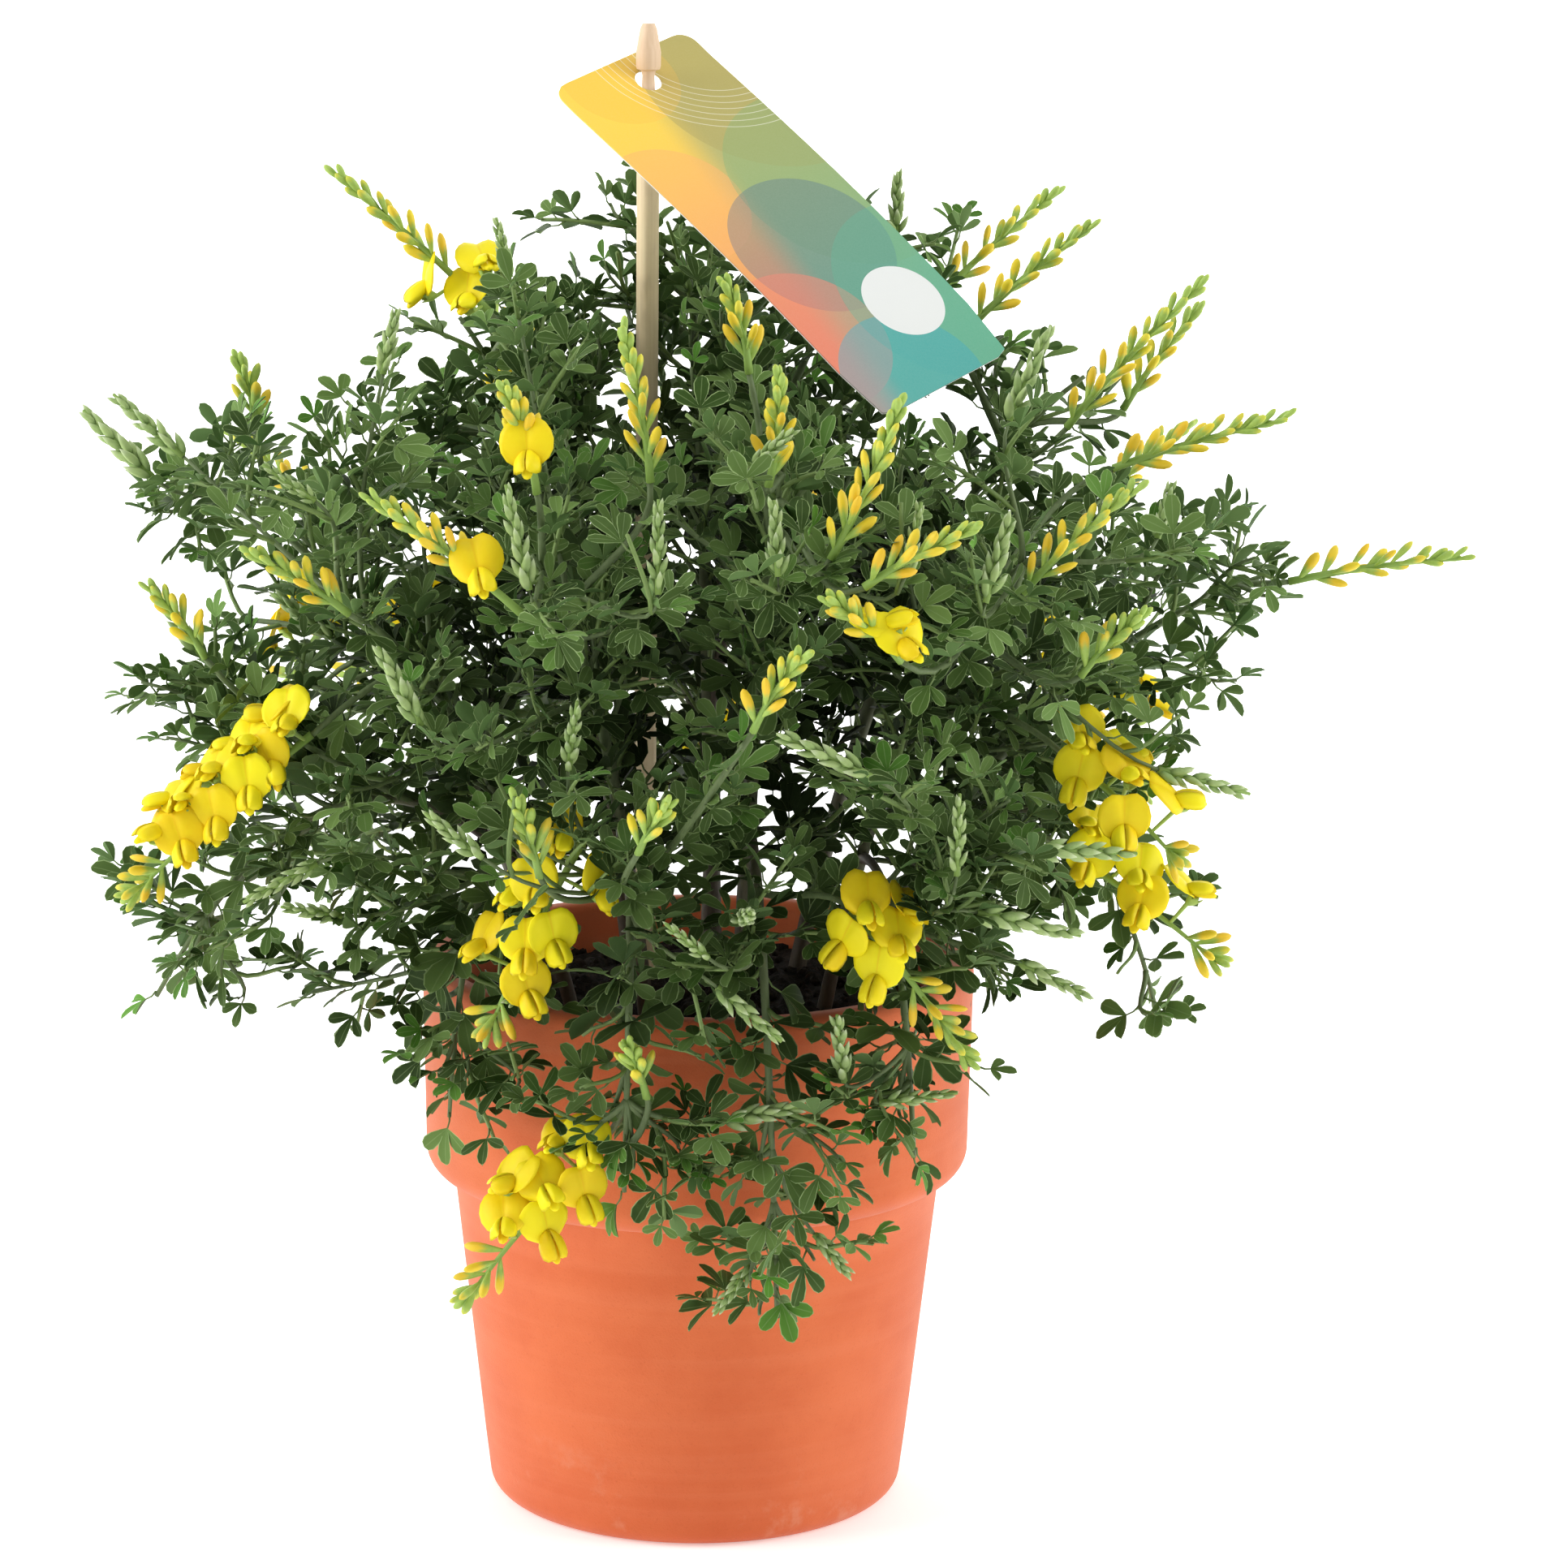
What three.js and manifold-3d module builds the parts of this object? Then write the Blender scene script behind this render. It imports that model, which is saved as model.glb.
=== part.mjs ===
// A broom shrub in a clay pot. Ten woody stems stand in plain holes in the soil and fork into
// limbs, the limbs carry leafy twigs with three-part leaves and scaly shoot tips, and sprays of
// yellow pea flowers and of buds sit at the twig ends. A printed card hangs on a bamboo stick.
// Millimetres, +Z up. Places are measured from the pot's axis and its foot; the whole plant is
// shifted at the end, so that the origin is under the middle of everything.
import * as THREE from 'three';
import { mergeVertices } from 'three/addons/utils/BufferGeometryUtils.js';
import Module from 'manifold-3d';

const wasm = await Module();
wasm.setup();
const { Manifold, Mesh: SolidMesh } = wasm;
const V = (x, y, z) => new THREE.Vector3(x, y, z);
const UP = V(0, 0, 1);
const GAP = 0.3; // clearance between neighbouring pieces
const SMALLEST_EDGE = 0.12; // shorter edges of a union are closed up
const SEED = 2832;

// The clay pot: a tapered body under a wider, rounded collar.
const POT = {
  height: 130, rim: 65, wall: 7, lip: 3, base: 49.2, baseRound: 4.5, collarFoot: 79,
  collarRound: 5.8, collar: 64.2, neck: 57.8, floor: 8, drain: 7.5, sides: 30,
};
const SOIL = { edge: 118, crown: 122, sides: 20, holeDepth: 22 };
const STICK = {
  foot: V(-12.9, 10, 60), top: 347, neckAt: 334, radius: 2.5, neck: 1.7, sides: 8,
  shoulder: 4, neckFoot: 3, neckTop: 2.5, head: 3.0, headFoot: 4, headTop: 2.3, room: 6,
};
const CARD = {
  width: 44, length: 112, thickness: 0.8, corner: 4, hole: 3.2, holeAcross: 23.8, holeDown: 8.3,
  along: V(0.665, -0.432, -0.609), across: V(0.687, 0.674, 0.273),
};

// The crown that the twigs fill: half axes to the sides, to front and back, and up or down, and how
// full the half is, from 1, a straight flank, to 2, a round one.
const CROWN = {
  centre: V(0, 0, 190), side: 139, depth: 124,
  upper: { rise: 118, fullness: 1.6 }, lower: { rise: 130, fullness: 2 },
};
const CROWN_SHELL = 0.78; // the twigs end between this share of the way out and the surface
const CROWN_LOWEST = -0.5; // sine of the steepest direction down
const TWIG_COUNT = 48;

// Bays in the crown's outline, seen from the front, that the twigs stop short of: across, up, radius.
const BAYS = [[112, 112, 46], [144, 194, 26], [-98, 306, 34], [-152, 174, 22], [-100, 68, 46]];
const BAY_STEP = 0.04; // how far a twig is drawn in at each try, as a share of the way out
const SPIKE_EVERY = 3; // every third free twig ends in a spike

// Limbs: how far they lean and rise before they turn outwards, and where the later ones fork off.
const LIMB = {
  foot: 2.3, fork: 1.7, tip: 1.1, sides: 4, steps: 4, lean: 0.32, rise: 0.78, leastRise: 48,
  firstFork: 0.26, forkStep: 0.05,
};
const FOOT_GAP = 0.003; // share of a standing limb's curve left open under its foot
const TWIG = {
  root: 0.8, middle: 1.1, tip: 0.8, sides: 3, rooted: 2.5, plain: 26, leave: 0.55, bend: 0.3, rise: 0.5,
};
const SPIKE = { length: 18, radius: 2.3, fattest: 0.4 };
const ROOTS = { first: 0.34, last: 0.97, step: 0.07 }; // places along a limb where a twig may start
const TURNING = 1.4; // what a twig's turning counts for against its length
const SHORTEST_TWIG = 12;
const TWIG_TRIES = 60;
const PUSH = 0.6; // how much further aside a twig's middle goes at each try

// Leaves: how many on each kind of stalk, and one leaf of three leaflets.
const LEAVES = {
  sprayTwig: 1, drawnLimb: 4, most: 3, spacing: 30, tries: 24,
  last: 0.97, along: 0.55, lean: [0.4, 1.2], size: [0.85, 1.15], rise: 0.3,
};
const LEAF = { length: 12, width: 5.8, stalk: 5.5, thickness: 1.2, spread: 1.15, droop: 1.4 };
const RACHIS = { root: 1.0, tip: 0.7, sides: 3 };
const SUNK = 0.7; // how far past a stalk's axis the point of a leaf, bud or flower is sunk
const BUD = { length: 7.5, width: 3.2, lean: 0.62, fattest: 0.35, share: 0.5, low: 1.05, top: 0.6 };
const FLOWER = {
  stalk: 3.6, width: 11.5, height: 11, keel: 9.5, keelWidth: 3.4, keelHeight: 4.6, calyx: 1.4,
  lean: 0.35, rise: 0.4,
};
const SPRAY_FOOT = 0.6; // bare stalk under the first flower, in steps from one flower to the next

// Each stem: its name, where it stands on the soil, and its limbs, each with a tip and, where
// the limb arches over the rim or far out, the point that it is drawn towards.
const STEMS = [
  ['centre', [4, 8], [[[-4, 32, 294]], [[42, 18, 296]]]],
  ['left_back', [-14, 26], [[[-56, 2, 280]], [[-60, 82, 232]], [[-84, 76, 166]]]],
  ['left', [-28, 4], [[[-122, -8, 248]], [[-118, 38, 202]]]],
  ['left_front', [-25, -14],
    [[[-84, -66, 228]], [[-124, -36, 128], [-84, -30, 202]], [[-56, -58, 106], [-52, -66, 170]]]],
  ['front_left', [-10, -26], [[[-36, -94, 240]], [[-16, -90, 98], [-14, -94, 180]]]],
  ['front_right', [9, -27], [[[18, -92, 262]], [[18, -86, 68], [14, -102, 174]]]],
  ['right_front', [26, -14], [[[74, -80, 240]], [[48, -82, 104], [44, -90, 174]]]],
  ['right', [29, 7], [[[132, -20, 226]], [[110, -26, 116], [92, -22, 194]]]],
  ['back_right', [20, 25], [[[88, -2, 268]], [[84, 80, 210]], [[62, 94, 158]]]],
  ['back', [2, 31], [[[8, 102, 240]], [[-26, 104, 168]]]],
];

// Each spray: its name, foot, tip, open flowers and buds.
const FLOWER_SPRAYS = [
  ['flowers_top_left', [-48, -24, 284], [-82, -30, 315], 3, 9],
  ['flowers_front_left', [-38, -108, 230], [-69, -112, 254], 1, 9],
  ['flowers_front_upper', [-35, -98, 254], [-41, -104, 276], 1, 6],
  ['flowers_left', [-86, -60, 194], [-126, -66, 158], 13, 4],
  ['flowers_over_rim_left', [-24, -86, 178], [-46, -80, 132], 9, 2],
  ['flowers_front_right', [42, -118, 222], [27, -128, 236], 2, 6],
  ['flowers_over_rim_right', [33, -90, 162], [59, -94, 129], 5, 7],
  ['flowers_right_upper', [80, -70, 193], [103, -86, 174], 6, 1],
  ['flowers_right_lower', [80, -54, 169], [115, -70, 146], 6, 2],
  ['flowers_hanging', [-22, -82, 106], [-51, -88, 72], 7, 4],
  ['flowers_back_left', [-66, 94, 196], [-92, 110, 172], 5, 3],
  ['flowers_back_right', [76, 92, 192], [100, 106, 166], 6, 3],
  ['flowers_back_low', [2, 104, 166], [10, 116, 134], 5, 3],
  ['flowers_back_upper_right', [40, 84, 252], [58, 98, 276], 2, 7],
  ['flowers_back_upper_left', [-40, 86, 250], [-56, 98, 274], 3, 6],
  ['flowers_side_right', [100, 50, 182], [110, 64, 156], 4, 4],
  ['flowers_side_left', [-92, 54, 198], [-104, 70, 178], 4, 4],
];
const BUD_SPRAYS = [
  ['buds_upper_stick', [-11, -94, 256], [-17, -96, 288], 0, 10],
  ['buds_upper_middle', [14, -98, 256], [16, -106, 280], 0, 8],
  ['buds_under_card', [27, -114, 243], [41, -116, 276], 0, 10],
  ['buds_front_high', [34, -120, 238], [56, -122, 250], 0, 7],
  ['buds_right_front', [69, -90, 232], [93, -92, 255], 0, 9],
  ['buds_right_tall', [82, -32, 260], [111, -38, 293], 0, 12],
  ['buds_right_slim', [98, 8, 259], [115, 8, 282], 0, 7],
  ['buds_right_level', [92, -40, 252], [130, -46, 264], 0, 10],
  ['buds_far_right', [134, -24, 224], [174, -26, 230], 0, 9],
  ['buds_top_right_front', [62, -4, 280], [88, -12, 303], 0, 9],
  ['buds_top_right', [56, 22, 284], [83, 30, 307], 0, 8],
  ['buds_front_small', [11, -124, 208], [21, -132, 225], 0, 6],
  ['buds_top_front', [10, -66, 276], [5, -70, 295], 0, 6],
  ['buds_top_left', [-102, -16, 256], [-105, -18, 271], 0, 4],
  ['buds_left_front', [-76, -82, 225], [-96, -92, 239], 0, 7],
  ['buds_middle_low', [-13, -116, 180], [-7, -124, 191], 0, 5],
  ['buds_left_low', [-34, -104, 172], [-39, -114, 190], 0, 5],
  ['buds_over_rim', [-11, -92, 120], [-15, -102, 133], 0, 4],
  ['buds_left_side', [-110, -54, 210], [-121, -60, 226], 0, 6],
  ['buds_right_side', [82, -90, 214], [94, -98, 228], 0, 5],
  ['buds_back_top', [2, 52, 286], [6, 64, 308], 0, 8],
  ['buds_back_left', [-96, 66, 226], [-116, 78, 242], 0, 8],
  ['buds_back_right', [98, 62, 230], [120, 74, 246], 0, 8],
  ['buds_back_middle', [26, 118, 214], [30, 132, 230], 0, 7],
  ['buds_back_low_left', [-50, 104, 166], [-60, 120, 156], 0, 6],
];

function finish(color, roughness) {
  return new THREE.MeshStandardMaterial({ color, roughness, metalness: 0 });
}

const CLAY = finish(0xdf7040, 0.9);
const EARTH = finish(0x1d1712, 1.0);
const BAMBOO = finish(0xb08f62, 0.7);
const PRINT = finish(0x6fb08a, 0.45);
const FOLIAGE = finish(0x3f6b42, 0.75);
const PETALS = finish(0xf2cf0f, 0.6);
const BUDS = finish(0xb5c24a, 0.7);

// Vectors.

const rotated = (v, axis, angle) => v.clone().applyAxisAngle(axis, angle);
const across = (v, axis) => v.clone().addScaledVector(axis, -v.dot(axis)).normalize();
const between = (a, b, t) => a.clone().lerp(b, t);
const toward = (from, to) => to.clone().sub(from).normalize();
const sideways = (axis) => across(Math.abs(axis.z) > 0.9 ? V(1, 0, 0) : UP, axis);

// The same stream of numbers from 0 to 1 in every run.
function randomStream(seed) {
  let state = seed;
  return () => {
    state = (state + 0x6d2b79f5) | 0;
    let t = Math.imul(state ^ (state >>> 15), 1 | state);
    t = (t + Math.imul(t ^ (t >>> 7), 61 | t)) ^ t;
    return ((t ^ (t >>> 14)) >>> 0) / 2 ** 32;
  };
}

// Solids from points and faces.

// A solid from a three.js geometry, with its faces turned outwards.
function solidFrom(geometry) {
  const bare = new THREE.BufferGeometry();
  bare.setAttribute('position', geometry.getAttribute('position'));
  if (geometry.index) bare.setIndex(geometry.index);
  const merged = mergeVertices(bare, 1e-4);
  const vertProperties = merged.getAttribute('position').array;
  const triVerts = new Uint32Array(merged.index.array);
  const corner = (i) => V().fromArray(vertProperties, 3 * triVerts[i]);
  let volume = 0;
  for (let i = 0; i < triVerts.length; i += 3) volume += corner(i).dot(corner(i + 1).cross(corner(i + 2)));
  if (volume < 0) triVerts.reverse();
  return new Manifold(new SolidMesh({ numProp: 3, vertProperties, triVerts }));
}

function polyhedron(points, faces) {
  const geometry = new THREE.BufferGeometry();
  const coordinates = points.flatMap((p) => p.toArray());
  geometry.setAttribute('position', new THREE.Float32BufferAttribute(coordinates, 3));
  geometry.setIndex(faces.flat());
  return solidFrom(geometry);
}

const fan = (ring, apex) => ring.map((a, i) => [a, ring[(i + 1) % ring.length], apex]);
const cap = (ring) => ring.slice(2).map((c, i) => [ring[0], c, ring[i + 1]]);
const ringFrom = (first, count) => Array.from({ length: count }, (_, k) => first + k);

// The triangles between two rings that turn the same way and start side by side. A ring of one
// is a point.
function band(near, far) {
  if (near.length === 1) return fan([...far].reverse(), near[0]);
  if (far.length === 1) return fan(near, far[0]);
  const faces = [];
  let [i, j] = [0, 0];
  while (i < near.length || j < far.length) {
    const [a, b] = [near[i % near.length], far[j % far.length]];
    const stepNear = j >= far.length || (i + 1) * far.length <= (j + 1) * near.length;
    if (stepNear) i += 1;
    else j += 1;
    faces.push([a, stepNear ? near[i % near.length] : far[j % far.length], b]);
  }
  return faces;
}

// The points of a ring, from the middle of the first face's left edge on.
function ringPoints(centre, ahead, side, radius, sides) {
  return ringFrom(0, sides)
    .map((k) => rotated(side, ahead, ((2 * k - 1) * Math.PI) / sides).multiplyScalar(radius).add(centre));
}

// Stalks: a curve with a flat-sided section, whose first face looks along side. Its rings give a
// place on the curve and a radius each, and it runs straight from ring to ring. A radius of zero
// is a point.

function stalkAlong(curve, sides, rings, side) {
  const start = curve.getTangent(0);
  const turn = start.clone().cross(curve.getTangent(1));
  const flat = turn.length() > 0.05 ? turn.normalize() : sideways(start);
  return { curve, sides, rings, side: side ?? flat };
}

// The place on a stalk's axis, on the straight run between its rings.
function pointOn({ curve, rings }, t) {
  const next = rings.findIndex(([place]) => place >= t);
  if (next < 1) return curve.getPoint(t);
  const [[from], [to]] = [rings[next - 1], rings[next]];
  return between(curve.getPoint(from), curve.getPoint(to), (t - from) / (to - from));
}

// The way that face number k looks, at a place along the stalk.
function faceOf({ curve, sides, side }, t, k) {
  const ahead = curve.getTangent(t);
  return rotated(across(side, ahead), ahead, (2 * Math.PI * k) / sides);
}

function stalkSolid(stalk) {
  const { curve, sides, rings } = stalk;
  const points = [];
  const loops = rings.map(([t, radius]) => {
    const first = points.length;
    const count = radius ? sides : 1;
    points.push(...ringPoints(curve.getPoint(t), curve.getTangent(t), faceOf(stalk, t, 0), radius, count));
    return ringFrom(first, count);
  });
  const walls = loops.slice(1).flatMap((loop, i) => band(loops[i], loop));
  return polyhedron(points, [...cap(loops[0]), ...walls, ...cap(loops[loops.length - 1].reverse())]);
}

// Room taken by each piece, as capsules, so that no two nodes cross.

const taken = [];
const keep = (capsules, node, kind) => capsules.forEach((c) => taken.push({ ...c, node, kind }));

function segmentDistance(a, b, c, d) {
  const [u, v, w] = [b.clone().sub(a), d.clone().sub(c), a.clone().sub(c)];
  const [uu, uv, vv, uw, vw] = [u.dot(u), u.dot(v), v.dot(v), u.dot(w), v.dot(w)];
  const clamp = (x) => Math.min(1, Math.max(0, x));
  const cross = uu * vv - uv * uv;
  let s = cross > 1e-6 ? clamp((uv * vw - vv * uw) / cross) : 0;
  const t = vv > 0 ? clamp((uv * s + vw) / vv) : 0;
  s = uu > 0 ? clamp((uv * t - uw) / uu) : 0;
  return a.clone().addScaledVector(u, s).distanceTo(c.clone().addScaledVector(v, t));
}

function capsulesAlong(curve, steps, radius) {
  const points = curve.getPoints(steps);
  return points.slice(1).map((b, i) => ({ a: points[i], b, radius }));
}

// How far twigs and leaves keep from the pot's wall, the pot and the soil, and the card.
const ROOM = { wall: 2, pot: 1, cardFace: 1.5, cardEnd: 2, cardSide: 4 };
const cardNormal = CARD.along.clone().cross(CARD.across).normalize();
const cardHole = V(STICK.foot.x, STICK.foot.y, STICK.neckAt);

// Clear of the pot's wall, of the soil and of the card.
function isClearOfHolder(point, radius) {
  const out = Math.hypot(point.x, point.y);
  const inside = out < POT.rim - POT.wall - ROOM.wall - radius && point.z > SOIL.crown + ROOM.pot + radius;
  const outside = out > POT.rim + ROOM.pot + radius;
  if (point.z < POT.height + ROOM.pot + radius && !inside && !outside) return false;
  const fromHole = point.clone().sub(cardHole);
  const [down, over] = [fromHole.dot(CARD.along), fromHole.dot(CARD.across)];
  const nearCard = Math.abs(fromHole.dot(cardNormal)) < ROOM.cardFace + radius;
  const end = ROOM.cardEnd + radius;
  const onLength = down > -CARD.holeDown - end && down < CARD.length + end;
  return !(nearCard && onLength && Math.abs(over) < CARD.width / 2 + ROOM.cardSide + radius);
}

const isClear = (capsules, ignores) => capsules.every(({ a, b, radius }) => (
  [0, 0.25, 0.5, 0.75, 1].every((t) => isClearOfHolder(between(a, b, t), radius))
  && taken.every((other) => (
    ignores(other) || segmentDistance(a, b, other.a, other.b) > radius + other.radius + GAP))
));

// The pot, the soil, the stick and the card.

function arc(centre, radius, from, to, steps) {
  return ringFrom(0, steps + 1).map((i) => {
    const turn = THREE.MathUtils.degToRad(from + ((to - from) * i) / steps);
    return new THREE.Vector2(centre[0] + radius * Math.cos(turn), centre[1] + radius * Math.sin(turn));
  });
}

const lathe = (profile, sides) => new THREE.LatheGeometry(profile, sides).rotateX(Math.PI / 2);

// The pot's inner wall is straight from the floor to the rim.
function potInside(z) {
  const low = POT.base - POT.wall;
  return low + ((POT.rim - POT.wall - low) * (z - POT.floor)) / (POT.height - POT.lip - POT.floor);
}

function potGeometry() {
  const p = POT;
  const profile = [
    new THREE.Vector2(p.drain, 0),
    ...arc([p.base - p.baseRound, p.baseRound], p.baseRound, -90, -10, 2),
    new THREE.Vector2(p.neck, p.collarFoot),
    ...arc([p.collar - p.collarRound, p.collarFoot + p.collarRound], p.collarRound, -80, 0, 2),
    ...arc([p.rim - p.lip, p.height - p.lip], p.lip, 0, 90, 2),
    new THREE.Vector2(p.rim - p.wall, p.height - p.lip),
    new THREE.Vector2(potInside(p.floor), p.floor),
    new THREE.Vector2(p.drain, p.floor),
  ];
  return lathe([...profile, profile[0]], p.sides);
}

// The soil fills the pot and has a plain hole for each stem and for the stick.
function soilSolid(plugs) {
  const edge = (z) => (potInside(z) - GAP) * Math.cos(Math.PI / POT.sides) - GAP;
  const bottom = POT.floor + GAP;
  const profile = [
    [0, bottom], [edge(bottom), bottom], [edge(SOIL.edge), SOIL.edge],
    [POT.rim / 2, SOIL.crown], [0, SOIL.crown],
  ];
  const mass = solidFrom(lathe(profile.map(([r, z]) => new THREE.Vector2(r, z)), SOIL.sides));
  return mass.subtract(Manifold.union(plugs));
}

// The stick's shaft ends in a shoulder under the card; a slim neck passes through the card's
// hole and widens to a carved head.
function stickSolid() {
  const { foot, neckAt, top, radius, neck, sides } = STICK;
  const outline = [
    [0, foot.z], [radius, foot.z], [radius, neckAt - STICK.shoulder], [neck, neckAt - STICK.neckFoot],
    [neck, neckAt + STICK.neckTop], [STICK.head, neckAt + STICK.headFoot], [STICK.headTop, top], [0, top],
  ];
  const body = lathe(outline.map(([r, z]) => new THREE.Vector2(r, z)), sides);
  return solidFrom(body.translate(foot.x, foot.y, 0));
}

function cardMesh() {
  const { width, length, corner, holeAcross, holeDown, thickness } = CARD;
  const [left, top, right, bottom] = [-holeAcross, -holeDown, width - holeAcross, length - holeDown];
  const shape = new THREE.Shape();
  shape.absarc(right - corner, top + corner, corner, -Math.PI / 2, 0);
  shape.absarc(right - corner, bottom - corner, corner, 0, Math.PI / 2);
  shape.absarc(left + corner, bottom - corner, corner, Math.PI / 2, Math.PI);
  shape.absarc(left + corner, top + corner, corner, Math.PI, 1.5 * Math.PI);
  shape.holes.push(new THREE.Path().absarc(0, 0, CARD.hole, 0, 2 * Math.PI, true));
  const options = { depth: thickness, bevelEnabled: false, curveSegments: 3 };
  const geometry = new THREE.ExtrudeGeometry(shape, options);
  const mesh = new THREE.Mesh(geometry, PRINT);
  const over = CARD.across.clone().normalize();
  const down = across(CARD.along, over);
  mesh.quaternion.setFromRotationMatrix(new THREE.Matrix4().makeBasis(over, down, over.clone().cross(down)));
  mesh.position.copy(cardHole);
  return mesh;
}

// Stems, limbs and twigs.

// A limb rises from its foot and leans out to its tip, or is drawn over a given point.
function limbCurve(foot, tip, over) {
  const lean = between(foot, tip, LIMB.lean);
  const height = foot.z + Math.max(LIMB.rise * (tip.z - foot.z), LIMB.leastRise);
  return new THREE.QuadraticBezierCurve3(foot, over ?? V(lean.x, lean.y, height), tip);
}

// The first limb of a stem stands in the soil, and the others fork from it.
function limbsOf([name, [x, y], tips]) {
  const foot = V(x, y, SOIL.crown - SOIL.holeDepth);
  const curves = tips.map(([tip, over], i) => ({ tip: V(...tip), over: over && V(...over), i }));
  const trunk = limbCurve(foot, curves[0].tip, curves[0].over);
  return curves.map(({ tip, over, i }) => {
    const fork = LIMB.firstFork + LIMB.forkStep * i;
    const curve = i ? limbCurve(trunk.getPoint(fork), tip, over) : trunk;
    const thick = i ? LIMB.fork : LIMB.foot;
    const rings = ringFrom(0, LIMB.steps + 1)
      .map((k) => k / LIMB.steps)
      .map((t) => [Math.max(t, i ? 0 : FOOT_GAP), thick + (LIMB.tip - thick) * t]);
    const stalk = stalkAlong(curve, LIMB.sides, rings);
    return { node: 'stem_' + name, standing: i === 0, drawn: Boolean(over), ...stalk };
  });
}

// The space that a standing limb needs in the soil, round its lowest run.
function plugFor(limb) {
  const room = LIMB.foot + 2 * GAP;
  return stalkSolid({ ...limb, rings: [[0, room], [limb.rings[1][0], room]] });
}

function plugForStick() {
  const { foot, radius, sides } = STICK;
  const depth = SOIL.crown + STICK.room - foot.z;
  const plug = new THREE.CylinderGeometry(radius + 2 * GAP, radius + 2 * GAP, depth, sides);
  return solidFrom(plug.rotateX(Math.PI / 2).translate(foot.x, foot.y, foot.z - GAP + depth / 2));
}

// The crown's surface in a direction from its centre, or a share of the way to it, short of the bays.
function crownPoint(direction, share) {
  const { centre, side, depth } = CROWN;
  const { rise, fullness } = direction.z > 0 ? CROWN.upper : CROWN.lower;
  const shares = [direction.x / side, direction.y / depth, direction.z / rise];
  const reach = shares.reduce((sum, x) => sum + Math.abs(x) ** fullness, 0) ** (-1 / fullness);
  const point = centre.clone().addScaledVector(direction, reach * share);
  const isInBay = BAYS.some(([x, z, radius]) => Math.hypot(point.x - x, point.z - z) < radius);
  return isInBay ? crownPoint(direction, share - BAY_STEP) : point;
}

// Even places in the crown's shell: each next twig falls in the widest space that is left.
function twigPlace(i) {
  const turn = 2 * Math.PI * ((0.5 + 0.7548776662 * i) % 1);
  const rise = CROWN_LOWEST + (1 - CROWN_LOWEST) * ((0.5 + 0.569840291 * i) % 1);
  const flat = Math.sqrt(1 - rise * rise);
  const share = CROWN_SHELL + (1 - CROWN_SHELL) * ((0.618034 * i) % 1);
  const direction = V(flat * Math.cos(turn), flat * Math.sin(turn), rise);
  const heading = direction.clone().addScaledVector(UP, TWIG.rise).normalize();
  return { end: crownPoint(direction, share), heading };
}

// The place on a limb from which a twig reaches a point with the least length and turning.
function rootFor(limbs, end) {
  let best = { cost: Infinity };
  limbs.forEach((limb) => {
    for (let t = ROOTS.first; t < ROOTS.last; t += ROOTS.step) {
      const start = pointOn(limb, t);
      const ahead = limb.curve.getTangent(t);
      const length = start.distanceTo(end);
      if (length < SHORTEST_TWIG) continue;
      const cost = length * (1 + TURNING * (1 - ahead.dot(toward(start, end))));
      if (cost < best.cost) best = { cost, limb, start, ahead, length };
    }
  });
  return best;
}

// A twig's tip is a scaly spike, which swells and closes, or plain where a leaf or a spray ends it.
function twigRings(length, hasSpike) {
  const foot = [[0, 0], [TWIG.rooted / length, TWIG.root]];
  if (hasSpike) {
    const scales = SPIKE.length / length;
    const fattest = 1 - scales * (1 - SPIKE.fattest);
    return [...foot, [1 - scales, TWIG.tip], [fattest, SPIKE.radius], [1, 0]];
  }
  return length > TWIG.plain ? [...foot, [0.5, TWIG.middle], [1, TWIG.tip]] : [...foot, [1, TWIG.tip]];
}

// A twig leaves its limb and arrives along its heading. Where it would cross another stem, its
// middle is pushed aside, a little further at each try.
function twigTo(limbs, end, heading, spray, hasSpike) {
  const { limb, start, ahead, length } = rootFor(limbs, end);
  const straight = toward(start, end);
  const out = sideways(straight);
  const leave = between(ahead, straight, TWIG.leave).normalize();
  for (let tries = 0; tries < TWIG_TRIES; tries += 1) {
    const push = rotated(out, straight, tries * 2.4).multiplyScalar(PUSH * tries);
    const curve = new THREE.CubicBezierCurve3(
      start,
      start.clone().addScaledVector(leave, length * TWIG.bend).add(push),
      end.clone().addScaledVector(heading, -length * TWIG.bend).add(push),
      end,
    );
    const capsules = capsulesAlong(curve, 5, TWIG.middle);
    const isOwn = ({ node, kind }) => node === spray || (node === limb.node && kind === 'wood');
    if (isClear(capsules, isOwn)) {
      keep(capsules, limb.node, 'wood');
      return { node: limb.node, length, ...stalkAlong(curve, TWIG.sides, twigRings(length, hasSpike)) };
    }
  }
  return null;
}

// Leaves.

// A leaf's outline from one side of its stalk to the other: three leaflets round a hub.
function leafOutline() {
  const { length, width, spread } = LEAF;
  const polar = (angle, r) => [r * Math.cos(angle), r * Math.sin(angle)];
  const widest = Math.atan2(width / 2, length * 0.58);
  const flank = Math.hypot(width / 2, length * 0.58);
  const tip = (angle) => polar(angle, length);
  return [
    [-0.8, -0.6], polar(-spread - widest, flank), tip(-spread), polar(-spread / 2, 2.2),
    polar(-widest, flank), tip(0), polar(widest, flank),
    polar(spread / 2, 2.2), tip(spread), polar(spread + widest, flank), [-0.8, 0.6],
  ];
}

const LEAF_OUTLINE = leafOutline();

// Leads from a leaf's own axes, along its stalk, across it and out of its upper face, to a place.
function leafPlacer(root, ahead, face, size) {
  const hub = root.clone().addScaledVector(ahead, LEAF.stalk * size);
  const side = face.clone().cross(ahead);
  return (x, y, z) => hub.clone()
    .addScaledVector(ahead, x * size).addScaledVector(side, y * size).addScaledVector(face, z * size);
}

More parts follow.
